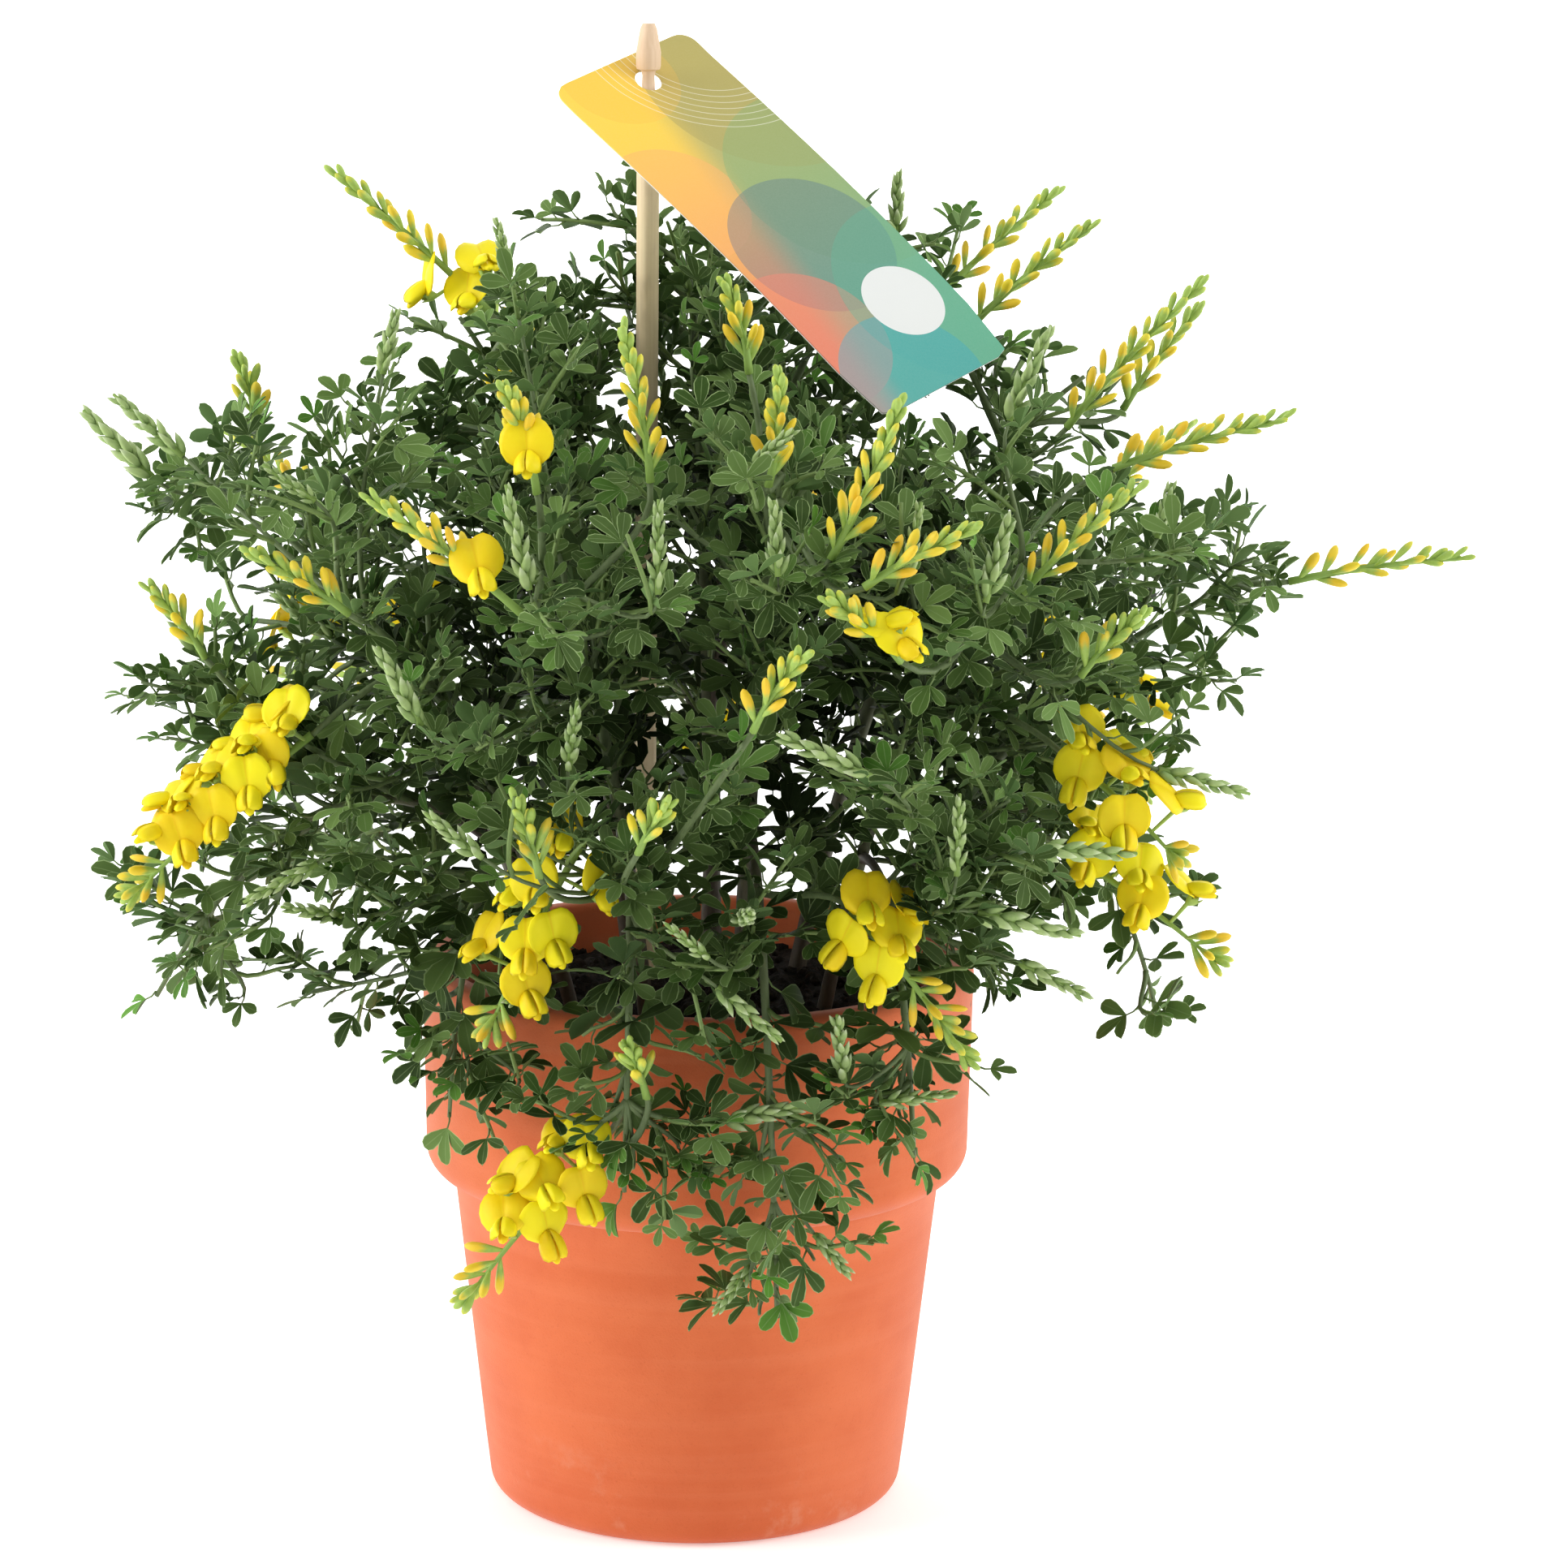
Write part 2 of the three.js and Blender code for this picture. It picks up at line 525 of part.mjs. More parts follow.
// One thin arched blade, cut to the rib between its leaflets, on a stalk that ends in a point.
function leafSolid(place, size) {
  const n = LEAF_OUTLINE.length;
  const arched = (x, y) => -LEAF.droop * (Math.hypot(x, y) / LEAF.length) ** 2;
  const points = LEAF_OUTLINE.map(([x, y]) => place(x, y, arched(x, y)));
  const [crest, keel, foot] = [n, n + 1, n + 2];
  const half = LEAF.thickness / 2;
  points.push(place(0, 0, half), place(0, 0, -half), place(-LEAF.stalk - SUNK / size, 0, 0));
  const edges = ringFrom(0, n - 1).map((i) => [i, i + 1]);
  return polyhedron(points, [
    ...edges.map(([a, b]) => [a, b, crest]),
    ...edges.map(([a, b]) => [b, a, keel]),
    ...fan([n - 1, keel, 0, crest], foot),
  ]);
}

function leafCapsules(place, size) {
  const reach = LEAF.length * 0.86;
  return [-LEAF.spread, 0, LEAF.spread].map((angle) => ({
    a: place(0, 0, 0),
    b: place(reach * Math.cos(angle), reach * Math.sin(angle), -1),
    radius: LEAF.width * 0.42 * size,
  }));
}

// Leaves stand on a stalk's faces in turn, from its tip back to its middle, where there is room.
function leavesOn(stalk, count, random) {
  const solids = [];
  for (let i = 0; i < count; i += 1) {
    for (let tries = 0; tries < LEAVES.tries && solids.length <= i; tries += 1) {
      const t = LEAVES.last - (LEAVES.along * (i + 0.5 * random())) / count;
      const root = pointOn(stalk, t);
      const ahead = stalk.curve.getTangent(t);
      const lean = THREE.MathUtils.lerp(...LEAVES.lean, random());
      const out = faceOf(stalk, t, i + tries).addScaledVector(ahead, lean).normalize();
      const face = across(UP.clone().addScaledVector(ahead, LEAVES.rise), out);
      const size = THREE.MathUtils.lerp(...LEAVES.size, random());
      const place = leafPlacer(root, out, face, size);
      const capsules = leafCapsules(place, size);
      if (isClear(capsules, ({ node, kind }) => node === stalk.node && kind === 'wood')) {
        keep(capsules, stalk.node, 'leaf');
        solids.push(leafSolid(place, size));
      }
    }
  }
  return solids;
}

// Sprays.

// A bud leans out from the spray's stalk, fattest near its foot.
function budSolid(root, ahead, out, size) {
  const heading = out.clone().multiplyScalar(BUD.lean).add(ahead).normalize();
  const tip = root.clone().addScaledVector(heading, BUD.length * size);
  const foot = root.clone().addScaledVector(out, -SUNK);
  const fattest = between(root, tip, BUD.fattest);
  const ring = ringPoints(fattest, heading, across(out, heading), (BUD.width / 2) * size, 3);
  return polyhedron([foot, ...ring, tip], [...fan([3, 2, 1], 0), ...fan([1, 2, 3], 4)]);
}

// A pea flower's own axes: out along its stalk, up the upright petal, and to its side.
function flowerPlacer(root, ahead, out) {
  const front = out.clone().addScaledVector(ahead, FLOWER.lean).normalize();
  const rise = across(UP.clone().addScaledVector(ahead, FLOWER.rise), front);
  const side = rise.clone().cross(front);
  return (x, y, z) => root.clone()
    .addScaledVector(side, x).addScaledVector(rise, y).addScaledVector(front, z);
}

// A stalk that widens to the calyx, the upright petal with its notched top, and the keel in front.
function flowerSolid(place) {
  const { stalk, width, height, keel, keelWidth, keelHeight } = FLOWER;
  const calyx = [[0, 1], [-0.87, -0.5], [0.87, -0.5]]
    .map(([u, v]) => place(u * FLOWER.calyx, 1 + v * FLOWER.calyx, stalk));
  const petal = [
    [0, 0.8, -1.4], [-0.4, 0.66, 0.4], [-0.5, 0.3, 1.2], [0, -0.16, 0], [0.5, 0.3, 1.2], [0.4, 0.66, 0.4],
  ].map(([u, v, z]) => place(u * width, v * height, stalk + z));
  const boat = [[0, 0.5], [-0.5, 0], [0, -0.5], [0.5, 0]]
    .map(([u, v]) => place(u * keelWidth, 1.2 + v * keelHeight, stalk + 0.9));
  const points = [place(0, 0, -SUNK), ...calyx, ...petal, ...boat, place(0, 0.6, stalk + keel)];
  return polyhedron(points, [
    ...band([0], [1, 2, 3]),
    ...band([1, 2, 3], ringFrom(4, 6)),
    ...band(ringFrom(4, 6), ringFrom(10, 4)),
    ...band(ringFrom(10, 4), [14]),
  ]);
}

const flowerCapsules = (place) => [
  { a: place(0, 3, FLOWER.stalk), b: place(0, 5.4, FLOWER.stalk), radius: FLOWER.width * 0.42 },
  { a: place(0, 0, 0), b: place(0, 0.6, FLOWER.stalk + FLOWER.keel), radius: FLOWER.keelHeight / 2 },
];

// A stalk with open flowers from its foot and buds to its tip, on its three faces in turn. Of the
// buds only a share is made, spread over the same length.
function spray([name, foot, tip, open, allBuds], material) {
  const buds = Math.ceil(allBuds * BUD.share);
  const [start, end] = [V(...foot), V(...tip)];
  const curve = new THREE.LineCurve3(start, end);
  const ahead = toward(start, end);
  const rings = [[0, RACHIS.root], [1, RACHIS.tip]];
  const stalk = stalkAlong(curve, RACHIS.sides, rings, across(V(start.x, start.y, 30), ahead));
  const pieces = [stalkSolid(stalk)];
  const capsules = capsulesAlong(curve, 1, 1.2);
  for (let i = 0; i < open + buds; i += 1) {
    const t = (i + SPRAY_FOOT) / (open + buds);
    const root = curve.getPoint(t);
    const out = faceOf(stalk, t, i);
    if (i < open) {
      const place = flowerPlacer(root, ahead, out);
      pieces.push(flowerSolid(place));
      capsules.push(...flowerCapsules(place));
    } else {
      const size = THREE.MathUtils.lerp(BUD.low, BUD.top, (i - open) / buds);
      pieces.push(budSolid(root, ahead, out, size));
      const heading = out.clone().multiplyScalar(BUD.lean).add(ahead);
      const tip = root.clone().addScaledVector(heading, BUD.length * 0.7);
      capsules.push({ a: root, b: tip, radius: BUD.width / 2 });
    }
  }
  keep(capsules, name, 'spray');
  return { name, pieces, material, start, heading: ahead };
}

// The whole plant, in the order in which room is given out.

function meshOf(name, solid, material) {
  const { vertProperties, triVerts } = solid.getMesh();
  const geometry = new THREE.BufferGeometry();
  geometry.setAttribute('position', new THREE.BufferAttribute(vertProperties, 3));
  geometry.setIndex(new THREE.BufferAttribute(triVerts, 1));
  return named(name, new THREE.Mesh(geometry, material));
}

function named(name, mesh) {
  mesh.name = name;
  return mesh;
}

// The union's largest body: a scrap that holds to nothing is dropped.
function fused(solids) {
  const bodies = Manifold.union(solids).simplify(SMALLEST_EDGE).decompose();
  return bodies.reduce((a, b) => (a.volume() > b.volume() ? a : b));
}

// Stems, stick and sprays take their room first, then the twigs, then the leaves.
function growPlant() {
  const limbs = STEMS.flatMap(limbsOf);
  const solids = new Map(STEMS.map(([name]) => ['stem_' + name, []]));
  limbs.forEach((limb) => {
    solids.get(limb.node).push(stalkSolid(limb));
    keep(capsulesAlong(limb.curve, LIMB.steps, LIMB.foot - GAP), limb.node, 'wood');
  });
  const stickTop = V(STICK.foot.x, STICK.foot.y, STICK.top);
  keep([{ a: STICK.foot, b: stickTop, radius: STICK.radius + 2 * GAP }], 'label_stick', 'wood');
  const sprays = [
    ...FLOWER_SPRAYS.map((row) => spray(row, PETALS)),
    ...BUD_SPRAYS.map((row) => spray(row, BUDS)),
  ];
  const sprayTwigs = sprays.map(({ name, start, heading }) => (
    twigTo(limbs, start.clone().addScaledVector(heading, -GAP), heading, name, false)));
  const freeTwigs = ringFrom(0, TWIG_COUNT)
    .map((i) => twigTo(limbs, twigPlace(i).end, twigPlace(i).heading, null, i % SPIKE_EVERY === 0))
    .filter((twig) => twig !== null);
  const random = randomStream(SEED);
  const leafy = [
    ...sprayTwigs.map((twig) => [twig, LEAVES.sprayTwig]),
    ...freeTwigs.map((twig) => [twig, Math.min(LEAVES.most, 1 + Math.round(twig.length / LEAVES.spacing))]),
  ];
  leafy.forEach(([twig, count]) => {
    solids.get(twig.node).push(stalkSolid(twig), ...leavesOn(twig, count, random));
  });
  limbs.filter(({ drawn }) => drawn).forEach((limb) => {
    solids.get(limb.node).push(...leavesOn(limb, LEAVES.drawnLimb, random));
  });
  return { limbs, solids, sprays };
}

const { limbs, solids, sprays } = growPlant();
const plugs = [...limbs.filter(({ standing }) => standing).map(plugFor), plugForStick()];
const plant = new THREE.Group();
plant.add(
  named('pot', new THREE.Mesh(potGeometry(), CLAY)),
  meshOf('soil', soilSolid(plugs), EARTH),
  meshOf('label_stick', stickSolid(), BAMBOO),
  named('label_card', cardMesh()),
);
solids.forEach((pieces, name) => plant.add(meshOf(name, fused(pieces), FOLIAGE)));
sprays.forEach(({ name, pieces, material }) => plant.add(meshOf(name, fused(pieces), material)));

// The pot stands off the middle of the crown, and the origin goes under the middle.
const shrub = new THREE.Group();
shrub.add(plant);
const middle = new THREE.Box3().setFromObject(plant).getCenter(V());
plant.position.set(-middle.x, -middle.y, 0);

export default shrub;
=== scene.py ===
"""A broom shrub in a clay pot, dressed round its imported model.

Lengths are metres, and whole millimetres in the tables of places. Places are measured from the
pot's axis and its foot, with -Y towards the viewer, and AXIS carries them into the model's frame.
"""
import math
from dataclasses import dataclass

import bpy
import numpy as np
from mathutils import Matrix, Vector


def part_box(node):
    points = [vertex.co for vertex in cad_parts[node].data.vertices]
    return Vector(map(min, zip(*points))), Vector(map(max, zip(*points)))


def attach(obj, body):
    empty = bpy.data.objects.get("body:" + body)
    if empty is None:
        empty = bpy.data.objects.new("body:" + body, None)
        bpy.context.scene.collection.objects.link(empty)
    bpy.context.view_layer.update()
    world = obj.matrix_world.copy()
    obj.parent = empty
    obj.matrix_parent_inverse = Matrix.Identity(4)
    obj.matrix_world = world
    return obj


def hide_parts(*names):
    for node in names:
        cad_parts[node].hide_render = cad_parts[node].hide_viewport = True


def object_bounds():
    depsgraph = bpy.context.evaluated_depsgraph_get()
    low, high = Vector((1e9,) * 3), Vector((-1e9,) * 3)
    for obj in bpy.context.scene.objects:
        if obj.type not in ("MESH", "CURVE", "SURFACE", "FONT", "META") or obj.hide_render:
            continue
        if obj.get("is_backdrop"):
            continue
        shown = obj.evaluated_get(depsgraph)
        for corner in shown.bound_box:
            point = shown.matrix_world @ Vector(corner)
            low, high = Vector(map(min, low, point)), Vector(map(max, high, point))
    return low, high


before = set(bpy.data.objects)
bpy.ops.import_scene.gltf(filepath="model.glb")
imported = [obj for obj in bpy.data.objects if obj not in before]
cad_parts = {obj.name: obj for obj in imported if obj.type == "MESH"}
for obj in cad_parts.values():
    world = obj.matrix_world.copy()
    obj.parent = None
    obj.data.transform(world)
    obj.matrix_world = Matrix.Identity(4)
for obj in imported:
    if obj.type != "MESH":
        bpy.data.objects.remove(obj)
cad_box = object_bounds()

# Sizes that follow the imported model.

pot_low, pot_high = (np.array(corner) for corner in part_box("pot"))
AXIS = np.array([*(pot_low + pot_high)[:2] / 2, 0.0])
RIM = (pot_high[1] - pot_low[1]) / 2
POT_TOP = pot_high[2]
STICK_FOOT, STICK_TOP = (corner.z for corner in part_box("label_stick"))

# The clay pot: a tapered body under a wider, rounded collar.

WALL, LIP, DRAIN, FLOOR = 0.007, 0.003, 0.0075, 0.008
BASE, BASE_ROUND, NECK = 0.0492, 0.0045, 0.0578
COLLAR, COLLAR_FOOT, COLLAR_ROUND = 0.0642, 0.079, 0.0058
CLAY_WAVE = 0.0016  # how far the wall is out of round, as a share of its radius
SOIL_EDGE, SOIL_CROWN = 0.118, 0.122
SOIL_LUMPS, SOIL_GRAINS = (0.0013, 0.011), (0.0007, 0.0035)  # height and size

# The stick, and the card that hangs on its neck by a hole near one corner.

STICK = np.array([-0.0129, 0.01, 0.0])
SHAFT, STICK_NECK, NECK_AT = 0.0025, 0.0014, 0.334
CARD_WIDTH, CARD_LENGTH, CARD_THICK, CARD_CORNER, CARD_BOW = 0.044, 0.112, 0.0005, 0.0042, 0.0016
HOLE, HOLE_ACROSS, HOLE_DOWN = 0.0032, 0.0238, 0.0083
HOLE_AT = STICK + [0, 0, NECK_AT]
CARD_DOWN = np.array([0.665, -0.432, -0.609])
CARD_OVER = np.array([0.687, 0.674, 0.273])

# The crown that the twigs fill: its middle, half axes to the sides and to front and back, and for
# the upper and the lower half the third one and how full it is, from 1, a straight flank, to 2.

CROWN = np.array([0.0, 0.0, 0.19])
CROWN_SIDE, CROWN_DEPTH = 0.139, 0.124
CROWN_UPPER, CROWN_LOWER = (0.118, 1.6), (0.13, 2.0)
CROWN_LOWEST = -0.5
LONG_TWIGS, SHORT_TWIGS = 48, 150
LONG_SHELL, SHORT_SHELL = (0.78, 1.0), (0.42, 0.88)
EVEN_TURN, EVEN_RISE, EVEN_DEPTH = 0.7548776662, 0.569840291, 0.618034  # steps that spread evenly
SPIKE_EVERY, SPIKE_LENGTH = 3, 0.017  # every third long twig ends in a silvery tip
SHORTEST_TWIG = 0.012
TURNING = 1.2  # how much a twig's turns count against its length
SHOOT_SPACING, REACH_SPACING, LIMB_SPACING = 0.016, 0.017, 0.011  # of the shoots on each
GOLDEN = 2.39996  # the turn from one leaf or bud to the next up a stalk
SEED = 2817

# Bays in the crown's outline, seen from the front: across, up and radius.

BAYS = np.array([[112, 112, 46], [136, 190, 34], [-98, 306, 34], [-152, 174, 22], [-100, 68, 46]]) / 1000
BAY_EDGE = 0.006  # how far leaves may stand over a bay's edge

# The room that all growth leaves free: off the clay and the soil, round the stick, behind the card
# and before it. The stick's upper end stays in sight: half the width of that view, the height where
# it starts, and how much higher it starts for each metre towards the viewer.

HOLDER_GAP, STICK_ROOM, BEHIND_CARD, BEFORE_CARD = 0.001, 0.003, 0.0015, 0.08
STICK_SEEN, STICK_SEEN_FROM, STICK_SEEN_SLOPE = 0.0045, 0.256, 0.121

# How much further ends, twigs, leaves and silvery tips keep off, and the radii of the room that
# flowers, buds and silvery tips keep among the leaves.

END_GAP, TWIG_GAP, LEAF_GAP, SPIKE_GAP = 0.004, 0.0015, 0.0005, 0.002
FLOWER_ROOM, BUD_ROOM, SPIKE_ROOM = 0.0085, 0.004, 0.0032

# Stems: how deep they are rooted, where their limbs fork, and how a limb leans out, how much of its
# height its middle has and how high that is at least. Then the radii of stalks, at root and tip.

ROOTED, FORK_FROM, FORK_STEP = 0.022, 0.26, 0.05
LIMB_LEAN, LIMB_LIFT, LIMB_LEAST = 0.32, 0.78, 0.048
TRUNK, LIMB, TWIG, SHOOT = (0.0021, 0.0005), (0.0013, 0.0005), (0.0008, 0.0004), (0.0006, 0.00045)
SPRAY_TWIG, SPRAY_STALK, LEAF_STALK = (0.001, 0.0007), (0.00095, 0.0004), (0.0003, 0.00022)

# Leaves: the length of a full-grown blade, where the blades meet on their stalk as a share of it,
# and for a fine and a plain blade its half width at stations along it, as shares.

LEAFLET, HUB, LEAF_SPACING, BLADE_THICK = 0.0079, 0.45, 0.0031, 0.00016
FINE_BLADE = [[0, 0.08], [0.24, 0.52], [0.5, 0.9], [0.74, 1.0], [0.92, 0.68], [1, 0.1]]
PLAIN_BLADE = [[0, 0.08], [0.4, 0.84], [0.84, 0.86], [1, 0.1]]

# Painted shade on leaves: how far out in the crown it begins and how fast it deepens inwards, and how
# dark and how high the painted shade in the crown's lower middle is.

DEEP_FROM, DEEP_RATE = 0.81, 2.8
SHADE, SHADE_FOOT, SHADE_TOP = 0.8, 0.105, 0.222

# Flowers: stalk and cup, the upright petal, and under it the wings and the keel, which stand out
# and droop, the more the wider the flower is open; and buds for each one counted and at the tip.

FLOWER_STALK, CUP = 0.0036, 0.0013
BANNER_WIDE, BANNER_TALL, PETAL_THICK = 0.011, 0.0112, 0.00028
WING, WING_HALF, WING_FOOT = 0.0054, 0.00145, 0.0032
KEEL_FOOT, KEEL_HALF, DROOP, OPEN_DROOP = 0.0018, 0.0014, 0.003, 0.0014
BUD_CROWD, END_BUDS = 1.6, 6

# Each stem: its name, where it stands on the soil, and its limbs, each with a tip and, where the
# limb arches over the rim or far out, the point that it is drawn towards.

STEMS = [
    ("centre", (4, 8), [((-4, 32, 294), None), ((42, 18, 296), None)]),
    ("left_back", (-14, 26), [((-56, 2, 280), None), ((-60, 82, 232), None), ((-84, 76, 166), None)]),
    ("left", (-28, 4), [((-122, -8, 248), None), ((-118, 38, 202), None)]),
    ("left_front", (-25, -14), [((-84, -66, 228), None), ((-124, -36, 128), (-84, -30, 202)),
        ((-56, -58, 106), (-52, -66, 170))]),
    ("front_left", (-10, -26), [((-36, -94, 240), None), ((-16, -90, 98), (-14, -94, 180))]),
    ("front_right", (9, -27), [((18, -92, 262), None), ((18, -86, 68), (14, -102, 174))]),
    ("right_front", (26, -14), [((74, -80, 240), None), ((48, -82, 104), (44, -90, 174))]),
    ("right", (29, 7), [((132, -20, 226), None), ((106, -28, 124), (88, -22, 194))]),
    ("back_right", (20, 25), [((88, -2, 268), None), ((84, 80, 210), None), ((62, 94, 158), None)]),
    ("back", (2, 31), [((8, 102, 240), None), ((-26, 104, 168), None)]),
]

# Each spray: its node in the model, foot, tip, open flowers and buds.

FLOWER_SPRAYS = [
    ("top_left", (-48, -24, 284), (-82, -30, 315), 3, 9),
    ("front_left", (-38, -108, 230), (-69, -112, 254), 1, 9),
    ("front_upper", (-35, -98, 254), (-41, -104, 276), 1, 6),
    ("left", (-86, -60, 194), (-126, -66, 158), 13, 4),
    ("over_rim_left", (-24, -86, 178), (-46, -80, 132), 9, 2),
    ("front_right", (42, -118, 222), (27, -128, 236), 2, 6),
    ("over_rim_right", (33, -90, 162), (59, -94, 129), 5, 7),
    ("right_upper", (80, -70, 193), (103, -86, 174), 6, 1),
    ("right_lower", (80, -54, 169), (115, -70, 146), 6, 2),
    ("hanging", (-22, -82, 106), (-51, -88, 72), 7, 4),
    ("back_left", (-66, 94, 196), (-92, 110, 172), 5, 3),
    ("back_right", (76, 92, 192), (100, 106, 166), 6, 3),
    ("back_low", (2, 104, 166), (10, 116, 134), 5, 3),
    ("back_upper_right", (40, 84, 252), (58, 98, 276), 2, 7),
    ("back_upper_left", (-40, 86, 250), (-56, 98, 274), 3, 6),
    ("side_right", (100, 50, 182), (110, 64, 156), 4, 4),
    ("side_left", (-92, 54, 198), (-104, 70, 178), 4, 4),
]
BUD_SPRAYS = [
    ("upper_stick", (-11, -94, 256), (-17, -96, 288), 0, 10),
    ("upper_middle", (14, -98, 256), (16, -106, 280), 0, 8),
    ("under_card", (27, -114, 243), (41, -116, 276), 0, 10),
    ("front_high", (34, -120, 238), (56, -122, 250), 0, 7),
    ("right_front", (69, -90, 232), (93, -92, 255), 0, 9),
    ("right_tall", (82, -32, 260), (111, -38, 293), 0, 12),
    ("right_slim", (98, 8, 259), (115, 8, 282), 0, 7),
    ("right_level", (92, -40, 252), (130, -46, 264), 0, 10),
    ("far_right", (134, -24, 224), (174, -26, 230), 0, 9),
    ("top_right_front", (62, -4, 280), (88, -12, 303), 0, 9),
    ("top_right", (56, 22, 284), (83, 30, 307), 0, 8),
    ("front_small", (11, -124, 208), (21, -132, 225), 0, 6),
    ("top_front", (10, -66, 276), (5, -70, 295), 0, 6),
    ("top_left", (-102, -16, 256), (-105, -18, 271), 0, 4),
    ("left_front", (-76, -82, 225), (-96, -92, 239), 0, 7),
    ("middle_low", (-13, -116, 180), (-7, -124, 191), 0, 5),
    ("left_low", (-34, -104, 172), (-39, -114, 190), 0, 5),
    ("over_rim", (-11, -92, 120), (-15, -102, 133), 0, 4),
    ("left_side", (-110, -54, 210), (-121, -60, 226), 0, 6),
    ("right_side", (82, -90, 214), (94, -98, 228), 0, 5),
    ("back_top", (2, 52, 286), (6, 64, 308), 0, 8),
    ("back_left", (-96, 66, 226), (-116, 78, 242), 0, 8),
    ("back_right", (98, 62, 230), (120, 74, 246), 0, 8),
    ("back_middle", (26, 118, 214), (30, 132, 230), 0, 7),
    ("back_low_left", (-50, 104, 166), (-60, 120, 156), 0, 6),
]

# Silvery, scaly shoot tips that stand where the eye goes: foot and tip.

SPIKES = [
    (-36, -114, 236, -41, -112, 258), (-9, -118, 236, -9, -118, 256), (16, -118, 240, 15, -118, 256),
    (60, -108, 233, 65, -104, 251), (43, -114, 240, 46, -112, 255), (-59, -110, 206, -68, -110, 223),
    (36, -120, 198, 16, -126, 208), (55, -108, 174, 55, -114, 193), (60, -100, 164, 83, -92, 157),
    (72, -100, 178, 95, -90, 175), (-46, -112, 178, -58, -114, 188), (2, -110, 156, -7, -117, 165),
    (4, -104, 148, 18, -104, 136), (6, -88, 114, 23, -94, 119), (32, -92, 124, 30, -100, 141),
    (40, -88, 118, 57, -90, 121), (100, -82, 192, 121, -74, 185), (99, -76, 242, 102, -74, 254),
    (-69, -72, 276, -66, -72, 290), (-42, -62, 296, -45, -62, 309), (45, 18, 298, 45, 18, 313),
    (66, -80, 268, 75, -74, 288), (-115, -46, 254, -131, -40, 267), (-123, -36, 248, -139, -30, 262),
    (-83, -84, 250, -94, -86, 258), (11, -108, 262, 19, -112, 270), (-113, -30, 206, -125, -28, 222),
    (12, -86, 80, 4, -90, 70), (26, -88, 88, 34, -90, 79), (-28, -106, 196, -26, -112, 212),
    (-84, -74, 168, -100, -78, 160), (70, -88, 150, 86, -88, 142),
]

# Leafy twig ends that reach past the crown's even outline.

REACHES = [
    (112, -50, 238), (124, -40, 232), (130, -30, 222), (120, -50, 206), (102, -70, 190),
    (-128, -28, 148), (-120, -28, 141), (-106, -30, 126), (-127, -30, 200), (-121, -34, 188),
    (-126, -30, 240), (103, -36, 125), (65, -60, 143), (-88, -40, 130), (-66, -50, 130), (-58, -64, 118),
    (-52, -70, 118), (-40, -76, 118), (-28, -88, 108), (-14, -92, 104), (3, -90, 103), (31, -90, 106),
    (45, -86, 114), (14, -90, 70), (12, -90, 78), (-100, -58, 150), (26, -88, 82), (-20, -86, 112),
    (-4, -90, 108), (14, -92, 104), (48, -80, 122), (38, -86, 114), (-22, 30, 304), (-18, 32, 295),
    (-23, 22, 290), (-29, 12, 281), (-5, 28, 292), (0, 22, 286), (-18, 32, 282), (-38, 0, 282),
    (4, -12, 284), (12, -26, 276), (22, -40, 266), (-3, 0, 278), (-24, -12, 277), (-30, 22, 286),
    (70, 12, 272), (56, 14, 286), (-36, -26, 272), (18, 40, 286),
]

# The pot's dark chips: place and size. The card's discs: across and down in card widths, radius,
# colour and strength; and the span of its fine rings, their centre and how many to a width.

CHIPS = [
    ((0.064, -0.0113, 0.121), 0.0012), ((0.0625, -0.0179, 0.118), 0.0008),
    ((0.0346, -0.0533, 0.0805), 0.0005), ((-0.0388, -0.0515, 0.1255), 0.0006),
]
CARD_DISCS = [
    (0.4, 0.1, 0.34, (0.95, 0.52, 0.03), 0.4), (1.1, 0.45, 0.66, (0.4, 0.33, 0.08), 0.5),
    (0.02, 0.95, 0.4, (0.95, 0.42, 0.12), 0.45), (0.98, 1.2, 0.62, (0.2, 0.39, 0.14), 0.45),
    (0.5, 1.5, 0.46, (0.07, 0.16, 0.21), 0.5), (0.02, 1.98, 0.44, (0.78, 0.2, 0.13), 0.5),
    (0.94, 2.05, 0.6, (0.08, 0.38, 0.25), 0.45), (0.36, 2.44, 0.42, (0.02, 0.36, 0.42), 0.55),
    (0.68, 2.02, 0.23, (0.78, 0.8, 0.78), 1.0),
]
RINGS_FROM, RINGS_TO, RINGS_AT, RINGS_TO_A_WIDTH = 0.42, 0.74, (1.05, 0.02), 22.0

# The studio's white surroundings, and its paper, which glows by itself as painted light. Then the
# photograph's camera, which stands so far from a point on the pot's axis, and so steeply above it.

SKY_GLOW, PAPER_GLOW = 0.36, 0.36
VIEW_DISTANCE, VIEW_RISE, VIEW_POINT = 1.2, math.radians(16.97), 0.06
YAW, PITCH, ROLL = math.radians(0.987), math.radians(11.766), math.radians(0.591)
IMAGE, FOCAL = 1932, 6157  # pixels of the photograph's frame
SENSOR = 36.0


# Vectors, for single places and for whole arrays of them.

def metres(places):
    """Places of the tables, in metres."""
    return np.array(places) / 1000


def unit(v):
    return v / np.maximum(np.linalg.norm(v, axis=-1, keepdims=True), 1e-12)


def dot(a, b):
    return (a * b).sum(-1)


def across(v, axis):
    """The part of v that stands square to axis, at length one."""
    return unit(v - dot(v, axis)[..., None] * axis)


def turned(v, axis, angle):
    """v turned about axis: v cos a + (axis x v) sin a + axis (axis . v)(1 - cos a)."""
    c, s = np.cos(angle)[..., None], np.sin(angle)[..., None]
    return v * c + np.cross(axis, v) * s + axis * dot(axis, v)[..., None] * (1 - c)


